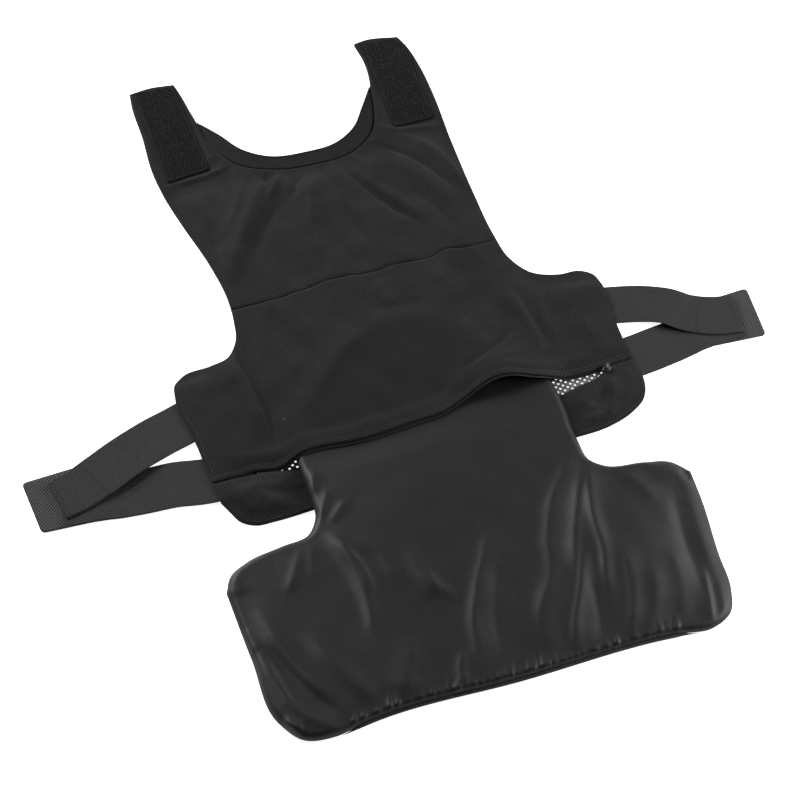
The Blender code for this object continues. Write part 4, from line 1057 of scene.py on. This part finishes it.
def taffeta_finish():
    """Close nylon taffeta: dark grey, half glossy, with a fine weave and faint rub marks."""
    made, tree, shader = finish_of("nylon_taffeta", Specular_IOR_Level=0.26)
    plan = on_cloth(tree)
    weave = use(tree, RIBS, plan, Rib=0.0011, Pick=0.0009)["Height"]
    grain = use(tree, GRAIN, plan, Yarns=700.0, Patches=9.0)
    base = blend(tree, grain["Tone"], (0.0062, 0.0062, 0.0065), (0.0106, 0.0106, 0.0110))
    coloured(tree, shader, base)
    rubbed = add(tree, "MapRange", {"Value": grain["Tone"], "To Min": 0.46, "To Max": 0.58})
    tree.links.new(rubbed.outputs[0], shader.inputs["Roughness"])
    weave = maths(tree, "MULTIPLY", weave, 0.3)
    relief(tree, shader, maths(tree, "MULTIPLY_ADD", grain["Height"], 0.8, weave), 0.00022)
    return made


def greys(dark, light, blue=0.0):
    """A dark and a light grey with a little more blue in both."""
    return (dark, dark, dark + blue), (light, light, light + blue)


KNIT, NET, TAFFETA, LOOP_PILE = knit_finish(), net_finish(), taffeta_finish(), pile_finish()

# Even finishes. After the greys: roughness, grains per metre, depth of the grain in metres, gloss
FACING = plain_finish(
    "facing_cloth", (0.005, 0.005, 0.0053), (0.0085, 0.0085, 0.009), 0.8, 1800.0, 0.0003, 0.15
)
LOOP_TAPE = plain_finish("loop_ground", *greys(0.004, 0.007), 0.95, 900.0, 0.0004, 0.15)
ZIP_COIL = plain_finish("zip_coil", *greys(0.022, 0.038), 0.4, 300.0, 0.0001)
THREAD = plain_finish("sewing_thread", *greys(0.020, 0.034), 0.6, 2500.0, 0.0002, 0.3)
PACK_THREAD = plain_finish("pack_thread", *greys(0.030, 0.055), 0.5, 2500.0, 0.0002)
NET_YARN = plain_finish("net_yarn", *greys(0.09, 0.16, 0.001), 0.75, 1500.0, 0.0003, 0.25)
SLIDER_PAINT = plain_finish("slider_paint", *greys(0.008, 0.014), 0.4, 400.0, 0.0001)
PULL_METAL = plain_finish("pull_metal", *greys(0.07, 0.12, 0.002), 0.46, 300.0, 0.00005, metallic=1.0)

# Woven tapes. After the greys: roughness, width of a rib and of a pick and their depth in metres, gloss
SEAM_BINDING = ribbed_finish(
    "seam_binding", (0.008, 0.008, 0.008), (0.020, 0.020, 0.021), 0.6, 0.0012, 0.0010, 0.0002
)
ELASTIC = ribbed_finish(
    "elastic_webbing", (0.009, 0.009, 0.0095), (0.025, 0.025, 0.026), 0.75, 0.0019, 0.0011, 0.0004, 0.25
)
HOOK_TAPE = ribbed_finish(
    "hook_tape", (0.014, 0.014, 0.014), (0.037, 0.037, 0.038), 0.7, 0.0026, 0.0024, 0.0006, 0.3
)
ZIP_TAPE = ribbed_finish("zip_tape", *greys(0.006, 0.012), 0.7, 0.0010, 0.0012, 0.0003, 0.25)


def slackness(x, y):
    """1 where the knit is at ease and its dimples show, and less where it is stretched: over the pack and
    along the rolled rims of the shoulder straps."""
    at_ease = 1.0 - 0.85 * ease((depth_inside(PACK_COARSE, x, y) + 10.0) / 12.0)
    rolled = (1.0 - ease((depth_inside(WHOLE_FRONT, x, y) - 4.0) / 5.0)) * ease((y - 300.0) / 40.0)
    return at_ease * (1.0 - rolled)


def all_slack(x, y):
    """1 everywhere: the tail of the front is not stretched."""
    return np.ones(len(x))


def within(curve, left, right, low, high):
    """The points of a curve between two values of x and two of y."""
    x, y = curve.T
    return curve[(x > left) & (x < right) & (y > low) & (y < high)]


def knit_part(node, ring, under, over, thread_name, paths, marks=slackness):
    """One part of the knit front, and the thread of the seams along its paths."""
    cloth = shell(node + "_cloth", ring, under, over, KNIT_PITCH, KNIT, marks=marks)
    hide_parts(node)
    return cloth, stitches(thread_name, paths, KNIT_STITCH, THREAD, "knit")


def front_pieces():
    """The knit front: the yoke above the chest seam, the cover from there to the lip of the slit, and the
    tail below the slit. Each outline joins two edges with the parts of the sides between them."""
    between = (0.0, GAP / 2)
    seam_up, seam_down = SEAM_CURVE + between, SEAM_CURVE - between
    lip, tail = LIP_CURVE + between, TAIL_CURVE - between

    left, right = split(LEFT_CURVE, seam_up[0, 1])[1], split(RIGHT_CURVE, seam_up[-1, 1])[0]
    ring = np.concatenate([seam_up[-2:0:-1], left, FRONT_NECK_CURVE[1:-1], right])
    paths = [on_top(SEAM_CURVE[2:-2] + (0.0, 4.6), cover_over, 0.2)]
    yoke, thread = knit_part("front_yoke", ring, cover_under, cover_over, "yoke_stitches", paths)

    left = split(split(LEFT_CURVE, seam_down[0, 1])[0], lip[0, 1])[1]
    right = split(split(RIGHT_CURVE, seam_down[-1, 1])[1], lip[-1, 1])[0]
    ring = np.concatenate([lip[-2:0:-1], left, seam_down[1:-1], right])
    sides = [
        within(inset(LEFT_CURVE, 4.2), -FAR, -200.0, -38.0, 80.0),
        within(inset(RIGHT_CURVE, 4.2), 200.0, FAR, -18.0, 86.0),
    ]
    paths = [on_top(LIP_CURVE[14:-2] + (0.0, up), cover_over, 0.15) for up in (2.6, 7.4)]
    paths += [on_top(side, cover_over, 0.1) for side in sides]
    cover, thread = knit_part("front_cover", ring, cover_under, cover_over, "cover_stitches", paths)

    left, right = split(LEFT_CURVE, tail[0, 1])[0], split(RIGHT_CURVE, tail[-1, 1])[1]
    ring = np.concatenate([left, tail[1:-1], right])
    tail_over = raised(tail_under, COVER_CLOTH)
    hems = [within(tail, -210.0, -128.0, -FAR, FAR), within(tail, 140.0, 196.0, -FAR, FAR)]
    paths = [on_top(hem - (0.0, 7.0), tail_over, 0.15) for hem in hems]
    sides = [inset(LEFT_CURVE, 2.6)[2:26], inset(RIGHT_CURVE, 2.6)[-40:-2]]
    paths += [on_top(side, tail_over, 0.1) for side in sides]
    bottom, thread = knit_part(
        "front_tail", ring, tail_under, tail_over, "tail_stitches", paths, all_slack
    )


def net_cell(sides=12):
    """One cell of the net round its hole: a frame whose six outer sides meet those of its neighbours,
    carried through five levels from the hole's edge over its crown to the outer edge and back."""
    hole = circle(sides) * HOLE_WIDE / 2
    a, b = HOLE_PITCH_X / 2, HOLE_PITCH_Y
    point, cap = (a * a + b * b) / (2 * a), (a * a - b * b) / (2 * a)
    quarter = [(point, 0.0), ((point + cap) / 2, b / 2), (cap, b)]
    half = quarter + [(0.0, b)] + [(-x, y) for x, y in quarter[::-1]]
    rim = np.array(half + [(x, -y) for x, y in half[-2:0:-1]])
    levels = [(hole, 0.5), (hole * 1.12, 0.95), (rim, 0.8), (rim, 0.35), (hole * 1.12, 0.2)]
    form = np.concatenate([np.column_stack([plan, np.full(sides, z)]) for plan, z in levels])
    return form, band_faces(len(levels), sides, closed=True)[:, ::-1]


def net_pieces():
    """The back of the vest: one net, with real holes in the parts of it that the open zip shows."""
    ring = np.concatenate([LEFT_CURVE[:-1], BACK_NECK_CURVE[1:-1], RIGHT_CURVE[1:]])
    over = raised(ground, NET_CLOTH)
    net = shell("back_net_cloth", ring, ground, over, NET_PITCH, NET, windows=NET_WINDOWS)
    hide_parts("back_net")
    centres = []
    for left, right, bottom, top in NET_WINDOWS:
        for row, y in enumerate(np.arange(bottom - 3, top + 4, HOLE_PITCH_Y)):
            x = np.arange(left - 4 + (row % 2) * HOLE_PITCH_X / 2, right + 5, HOLE_PITCH_X)
            centres.append(np.stack([x, np.full(len(x), y), np.zeros(len(x))], axis=1))
    centres = np.concatenate(centres)
    holes = repeated("net_at_slit", centres, (1.0, 0, 0), (0, 1.0, 0), UP, *net_cell(), NET_YARN, "net")


def neck_pieces():
    """The facing between the necklines of the front and the back, with its bound edge and its seam."""
    middle = np.array([-14.0, 430.0])
    lower = middle + (FRONT_NECK_CURVE[2:-2] - middle) * 0.985
    x, y = BACK_NECK_CURVE.T
    edge = BACK_NECK_CURVE[y < 12.0 + np.where(x < 0, lower[0, 1], lower[-1, 1])]
    ring = np.concatenate([lower, edge[::-1]])
    top = raised(on_net, FACING_CLOTH)
    facing = shell("neck_facing_cloth", ring, on_net, top, TAPE_PITCH, FACING, roll=2.0)
    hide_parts("neck_facing")
    path = spaced(on_top(inset(edge, 1.3), top, -0.35), 3.0)
    taper = np.minimum(1.0, np.linspace(0.2, len(path) / 3, len(path)))
    taper = np.minimum(taper, taper[::-1])
    binding = sweep("neck_binding", path, oval(2.4, 1.6, 10), FACING, taper)
    seam = [on_top(inset(edge, 3.6)[3:-3], top, 0.1)]
    seam = stitches("neck_stitches", seam, NECK_STITCH, THREAD, "facing")


def loop_form(wide=0.75, tall=1.25, sunk=0.15, wire=0.17, stations=5, sides=3):
    """One loop of the pile: a thin wire along half an ellipse in x and z, its ends in the ground."""
    t = np.linspace(0.0, math.pi, stations)
    out = np.stack([-np.cos(t), np.zeros(stations), np.sin(t)], axis=1)
    arc = out * (wide, 0.0, tall) - (0.0, 0.0, sunk)
    c, s = circle(sides).T[..., None]
    points = arc[:, None] + wire * (c * out[:, None] + s * np.array([0.0, 1.0, 0.0]))
    return points.reshape(-1, 3), band_faces(stations, sides, turned=True)


def pile(name, ring, pitch=1.12, jitter=0.5, rim=0.9):
    """Loops on a jittered lattice, each with its own turn, size, lean and tone, smaller at the rim; the
    tone is painted lighter toward the back end of the patch, a painted light falloff.
    """
    low, high = ring.min(axis=0), ring.max(axis=0)
    x, y = np.meshgrid(np.arange(low[0], high[0], pitch), np.arange(low[1], high[1], pitch))
    x, y = [grid.ravel() + CHANCE.uniform(-jitter, jitter, grid.size) for grid in (x, y)]
    depth = depth_inside(ring, x, y)
    x, y, depth = x[depth > rim], y[depth > rim], depth[depth > rim]
    count = len(x)
    spin = CHANCE.uniform(0.0, TURN, count)
    size = CHANCE.uniform(0.7, 1.25, count) * (0.62 + 0.38 * ease((depth - 0.5) / 4.0))
    lean = CHANCE.normal(0.0, 0.35, (count, 2))
    shade = CHANCE.uniform(0.0, 1.0, count) ** 2.0
    # Painted light: loops are painted lighter toward the back end of the patch, where the light comes
    # from.
    shade = shade * (0.7 + 0.3 * ease((y - low[1]) / (high[1] - low[1])))
    along = np.stack([np.cos(spin), np.sin(spin), np.zeros(count)], axis=1)
    axes = [along, np.cross(UP, along), np.column_stack([lean, np.ones(count)])]
    axes = [axis * size[:, None] for axis in axes]
    centres = np.column_stack([x, y, patch_under(x, y) + PATCH_CLOTH - 0.05])
    return repeated(name, centres, *axes, *loop_form(), LOOP_PILE, "loop", shade)


def loop_patches():
    """Loop tape on each shoulder strap: a ground sewn round its edge, and the pile on it."""
    top = raised(patch_under, PATCH_CLOTH)
    patches = [
        ("left", LEFT_RING, (0.050, 0.142), 0.0066),
        ("right", RIGHT_RING, (0.050, 0.136), 0.0062),
    ]
    for side, ring, flat, area in patches:
        node = f"loop_patch_{side}"
        tape = shell(node + "_tape", ring, patch_under, top, PATCH_PITCH, LOOP_TAPE, roll=1.2)
        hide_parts(node)
        loops = pile(node + "_pile", ring)
        from_middle = ring - ring.mean(axis=0)
        path = ring.mean(axis=0) + from_middle * (1.0 - 2.4 / np.abs(from_middle).max(axis=0))
        path = on_top(np.concatenate([path, path[:1]]), top, 0.5)
        seam = stitches(node + "_stitches", [path], LOOP_STITCH, THREAD, "loop")


def elastic_pieces():
    """Elastic straps: webbing carried along its path. It thins toward its selvedges as the root of the
    distance from them, and where it is free it cups up with the square of that from its middle."""
    straps = {
        "elastic_left_lower": LEFT_LOWER_ELASTIC, "elastic_left_upper": LEFT_UPPER_ELASTIC,
        "elastic_right_lower": RIGHT_LOWER_ELASTIC, "elastic_right_upper": RIGHT_UPPER_ELASTIC,
    }
    across = np.linspace(-1.0, 1.0, 27)
    across = np.sign(across) * (1 - (1 - np.abs(across)) ** 1.5)
    thick = ELASTIC_CLOTH * (0.30 + 0.70 * np.sqrt(np.clip((1 - np.abs(across)) * 14, 0, 1)))
    for name, rows in straps.items():
        line = spaced(flowing(rows, [False] * len(rows), CURVE_STEP), 2.0)
        path, off = line[:, :3], line[:, 3:] / 2 * across
        centre = path[:, None] + frames_of(path)[1][:, None] * off[..., None]
        length = lengths(path)
        free = ease((length - 26.0) / 24.0) * ease((length[-1] - 52.0 - length) / 20.0)
        cup = 0.5 * free[:, None] * across**2
        low, high = [
            centre + ((ELASTIC_CLOTH + way * thick) / 2 + cup)[..., None] * UP for way in (-1, 1)
        ]
        plan = np.stack(np.broadcast_arrays(length[:, None], off), axis=-1)
        strap = slab(name + "_webbing", low, high, ELASTIC, plan)
        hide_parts(name)
        thread = high + (0.0, 0.0, 0.15)
        seams = [thread[k, 2:-2] for k in ((-3, -22) if "upper" in name else (-3,))]
        seams += [thread[-22:-3, j] for j in (2, -3)]
        seam = stitches(name + "_stitches", seams, ELASTIC_STITCH, THREAD, "elastic")


def hook_tabs():
    """Flat tabs of hook tape, with the weave at 45 degrees to their long edge."""
    for side, corners in (("left", LEFT_TAB), ("right", RIGHT_TAB)):
        edge = np.subtract(corners[2], corners[1])
        turn = math.atan2(edge[1], edge[0]) + math.radians(45)
        tab = shell(
            f"hook_tab_{side}_tape", rounded(corners, TAB_CORNER), ground, raised(ground, TAB_CLOTH),
            TAPE_PITCH, HOOK_TAPE, roll=1.6, turn=turn,
        )
        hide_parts(f"hook_tab_{side}")


def zip_pieces():
    """Two tapes with a coil along each free edge: one under the lip, the other on the net."""
    x = np.linspace(ZIP_LEFT_X, ZIP_RIGHT_X, 150)
    for name, curve, side in (("zip_tape_lower", TAIL_CURVE, 1), ("zip_tape_upper", LIP_CURVE, -1)):
        y = height_of(curve, x)
        plan_y = y[:, None] + side * np.linspace(-TAPE_HIDDEN, TAPE_SHOWS, 6)
        plan_x = np.broadcast_to(x[:, None], plan_y.shape)
        if side > 0:
            low = on_net(plan_x, plan_y)
        else:
            low = cover_under(plan_x, plan_y) - UPPER_TAPE_DROP - TAPE_CLOTH
        bottom = np.stack([plan_x, plan_y, low], axis=-1)
        top = bottom + (0.0, 0.0, TAPE_CLOTH - 0.1)
        tape = slab(name + "_cloth", bottom, top, ZIP_TAPE, bottom[..., :2])
        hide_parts(name)
        edge = np.stack([x, y + side * (TAPE_SHOWS - 0.5), top[:, -1, 2] + 0.15], axis=1)
        edge = spaced(edge, 1.9)
        run, cross = frames_of(edge)
        turns = grain_form(2.1, 1.05, 0.9)
        coil = repeated(name + "_coil", edge, cross, -run, UP, *turns, ZIP_COIL, "zip_tape")


def pebble(name, centre, turn, levels, finish, power=3.0, sides=28):
    """Levels of (length, width, height) stacked and closed at both ends, each a superellipse of its size:
    |x|^power + |y|^power = 1."""
    unit = circle(sides)
    unit = np.sign(unit) * np.abs(unit) ** (2 / power)
    rings = [
        np.column_stack([rotated(unit * (length / 2, width / 2), turn), np.full(sides, height)]) + centre
        for length, width, height in levels
    ]
    return tube(name, np.array(rings), finish)


def slider_pieces():
    """Zip slider: two plates with a waist between them, a bridge in half an ellipse over the top, and a
    pull: a flat ring of a long oval outline round a small eye."""
    turn, place = math.radians(6), np.array([SLIDER_X, SLIDER_Y, SLIDER_Z])
    levels = [
        (7.2, 4.4, -1.4), (8.2, 5.2, -1.25), (8.4, 5.4, -0.9), (8.0, 5.0, -0.55), (6.2, 3.0, -0.35),
        (6.2, 3.0, 0.25), (8.0, 5.0, 0.45), (8.4, 5.4, 0.8), (8.2, 5.2, 1.1), (7.0, 4.2, 1.3),
    ]
    body = pebble("zip_slider_body", place, turn, levels, SLIDER_PAINT)
    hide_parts("zip_slider")
    t = np.linspace(0.0, math.pi, 15)[:, None]
    run = np.array([math.cos(turn), math.sin(turn), 0.0])
    path = place + (0.0, 0.0, 1.0) - np.cos(t) * 2.4 * run + np.sin(t) * 1.5 * UP
    sweep("zip_slider_bridge", path, oval(1.3, 0.7, 8), SLIDER_PAINT)

    outer, inner = oval(8.0, 2.6, 32), oval(2.0, 1.2, 32) - (2.2, 0.0)
    edge = outer * (0.97, 0.92)
    levels = [(edge, 0.0), (outer, 0.25), (outer, 0.85), (edge, 1.1), (inner, 1.1), (inner, 0.0)]
    place = place + (1.5, 1.2, 1.8)
    rings = [
        np.column_stack([rotated(plan, math.radians(75)), np.full(len(plan), z)]) + place
        for plan, z in levels
    ]
    faces = band_faces(len(levels), len(outer), closed=True)
    pull = mesh_piece("zip_pull_tab", np.concatenate(rings), faces, PULL_METAL)
    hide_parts("zip_pull")


def pack_top(x, y, blown=None):
    """Top of the pack: its padding, the folds and ripple where it is out of the pocket, the puckers of
    its seam, each a bell across a leaning line, and the rise of the blown-up cover if it is given."""
    depth = np.maximum(depth_inside(PACK_CURVE, x, y), 0.0)
    in_sight = ease((POCKET_EDGE_Y - y) / POCKET_EDGE_RAMP)
    creases = 0.9 * folds(PACK_LINES, x, y) + 0.35 * ripple(x * 0.8, y * 0.8)
    top = pack_over(x, y, depth) + in_sight * ease(depth / 7.0 + 0.2) * creases
    up = y - PUCKER_Y
    for k, (shift, reach, rise, lean) in enumerate(zip(*PUCKERS)):
        off = x - PUCKER_START - PUCKER_STEP * k - shift - PUCKER_SLANT * lean * up
        top = top + hump(off, rise, PUCKER_WIDE) * ease(1.0 - up / reach) * ease(up / 2.0 + 0.3)
    return top if blown is None else top + in_sight * sampled(*blown, SWELL_PITCH, x, y)


def swelling():
    """How far the pack's top rises when a cloth simulation blows its cover up: a grid and its place.

    The cover is a coarse closed shell whose underside and rim are held. Pressure lifts the top with no
    gravity, and the rise is scaled down to SWELL_CAP at the most."""
    x, y, depth, cell, used = cut_lattice(PACK_CURVE, SWELL_PITCH)
    rise, corner = np.zeros(x.shape), (x[0, 0], y[0, 0])
    x, y = x[used], y[used]
    points = np.concatenate([np.column_stack([x, y, height(x, y)]) for height in (pack_under, pack_top)])
    mesh = bpy.data.meshes.new("pad_to_blow_up")
    mesh.from_pydata(placed(points).tolist(), [], shell_faces(cell, used).tolist())
    pad, scene = linked("pad_to_blow_up", mesh), bpy.context.scene
    held = np.concatenate([np.ones(len(x), bool), depth[used] < SWELL_RIM])
    pad.vertex_groups.new(name="held").add(np.flatnonzero(held).tolist(), 1.0, "REPLACE")
    cloth = pad.modifiers.new("Cloth", "CLOTH")
    cloth.settings.vertex_group_mass = "held"
    cloth.settings.quality = 5
    cloth.settings.use_pressure = True
    cloth.settings.uniform_pressure_force = SWELL_PRESSURE
    cloth.settings.effector_weights.gravity = 0.0
    cloth.settings.shrink_min = -0.01
    cloth.collision_settings.use_collision = False
    cloth.point_cache.frame_start, cloth.point_cache.frame_end = 1, SWELL_FRAMES
    for number in range(1, SWELL_FRAMES + 1):
        scene.frame_set(number)
    blown = pad.evaluated_get(bpy.context.evaluated_depsgraph_get()).data
    after = np.empty(len(points) * 3, np.float32)
    blown.vertices.foreach_get("co", after)
    lifted = np.clip(after.reshape(-1, 3)[len(x) :, 2] / MM - points[len(x) :, 2], 0.0, None)
    rise[used] = lifted * min(1.0, SWELL_CAP / max(float(lifted.max()), 0.01))
    bpy.data.objects.remove(pad)
    bpy.data.meshes.remove(mesh)
    scene.frame_set(1)
    return rise, corner


def sampled(grid, corner, pitch, x, y):
    """A grid's value at each place, evened out between its four neighbours."""
    column = np.clip((x - corner[0]) / pitch, 0.0, grid.shape[1] - 1.001)
    row = np.clip((y - corner[1]) / pitch, 0.0, grid.shape[0] - 1.001)
    j, i = column.astype(int), row.astype(int)
    s, t = column - j, row - i
    low = grid[i, j] * (1 - s) + grid[i, j + 1] * s
    high = grid[i + 1, j] * (1 - s) + grid[i + 1, j + 1] * s
    return low * (1 - t) + high * t


def pack_pieces():
    """The armour pack: a soft pad with its folds, and the rolled seam along its bottom edge."""
    blown = swelling()
    pack = shell(
        "armour_pack_cloth", PACK_CURVE, pack_under, lambda x, y: pack_top(x, y, blown), PACK_PITCH,
        TAFFETA, roll=0.1, wall=PACK_RIM_WALL,
    )
    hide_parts("armour_pack")

    line = within(PACK_CURVE, -172.0, 168.0, -FAR, -320.0)
    line = line[np.argsort(line[:, 0])]
    path = spaced(np.column_stack([line, np.zeros(len(line))]), 3.0)
    section = [
        (-1.2, 2.5), (-0.6, 1.6), (0.4, 0.7), (1.4, 0.5), (2.3, 0.8), (2.8, 1.6), (2.8, 2.5), (2.4, 3.1),
        (1.9, 3.2), (1.5, 2.9), (1.2, 2.4), (0.9, 2.4), (0.5, 2.8), (-0.1, 3.0), (-0.7, 2.9),
    ]
    to_end = np.minimum(np.arange(len(path)), np.arange(len(path))[::-1])
    seam = sweep("pack_seam_roll", path, section, SEAM_BINDING, ease(to_end / 9.0 + 0.1))
    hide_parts("pack_seam")
    thread = path + frames_of(path)[1] * 1.2 + (0.0, 0.0, 2.5)
    stitches("pack_seam_stitches", [thread[4:-4]], PACK_STITCH, PACK_THREAD, "pack_cover")


def turned_to(item, place, aim):
    """Put a lamp or camera at a place, in metres, with its view along the line to its aim."""
    item.location = place
    item.rotation_mode = "QUATERNION"
    item.rotation_quaternion = (Vector(aim) - Vector(place)).to_track_quat("-Z", "Y")


# Softboxes. Columns: place in metres, side of the square in metres, watts
LAMPS = {
    "softbox_left": ((-1.0, 1.45, 1.0), 1.0, 62.0),
    "softbox_right": ((2.0, 0.6, 1.1), 1.1, 24.0),
    "softbox_near": ((0.95, -0.45, 0.45), 0.5, 11.0),
}
LAMP_AIM, SKY_STRENGTH, FLOOR_GLOW = (0.0, -0.08, 0.0), 0.14, 0.85
FLOOR_HALF, FLOOR_DROP = 9.0, 0.0004
CAMERA_AIM, CAMERA_DISTANCE, CAMERA_TURN, CAMERA_RISE = (-0.0052, -0.083, 0.0), 1.784, -17.5, 53.8


def stage_and_light():
    """A large sheet of white paper that glows a little, a faint white sky and three softboxes."""
    mesh = bpy.data.meshes.new("studio_floor")
    corners = [(-1, -1), (1, -1), (1, 1), (-1, 1)]
    corners = [(x * FLOOR_HALF, y * FLOOR_HALF, -FLOOR_DROP) for x, y in corners]
    mesh.from_pydata(corners, [], [(0, 1, 2, 3)])
    paper, tree, shader = finish_of("floor_paper", Roughness=0.9, Specular_IOR_Level=0.1)
    shade = use(tree, GRAIN, on_object(tree), Yarns=300.0, Patches=1.0)
    coloured(tree, shader, blend(tree, shade["Tone"], *greys(0.86, 0.9)))
    shader.inputs["Emission Color"].default_value = (1.0, 1.0, 1.0, 1.0)
    shader.inputs["Emission Strength"].default_value = FLOOR_GLOW
    mesh.materials.append(paper)
    linked("studio_floor", mesh)

    world = bpy.data.worlds.new("studio")
    world.use_nodes = True
    background = world.node_tree.nodes["Background"]
    background.inputs["Color"].default_value = (1.0, 1.0, 1.0, 1.0)
    background.inputs["Strength"].default_value = SKY_STRENGTH
    bpy.context.scene.world = world
    for name, (place, side, power) in LAMPS.items():
        light = bpy.data.lights.new(name, "AREA")
        light.shape, light.size, light.size_y, light.energy = "RECTANGLE", side, side, power
        turned_to(linked(name, light), place, LAMP_AIM)
    bpy.context.scene.view_settings.view_transform = "Standard"


def make_camera():
    """The photo's camera: its angles were solved from the vest's own symmetry."""
    turn, rise = math.radians(CAMERA_TURN), math.radians(CAMERA_RISE)
    back = Vector((math.sin(turn) * math.cos(rise), -math.cos(turn) * math.cos(rise), math.sin(rise)))
    lens = bpy.data.cameras.new("photo_camera")
    lens.lens, lens.sensor_width = 80.0, 36.0
    camera = linked("photo_camera", lens)
    turned_to(camera, Vector(CAMERA_AIM) + back * CAMERA_DISTANCE, CAMERA_AIM)
    bpy.context.scene.camera = camera


make_camera()
stage_and_light()
front_pieces()
net_pieces()
neck_pieces()
loop_patches()
hook_tabs()
elastic_pieces()
zip_pieces()
slider_pieces()
pack_pieces()
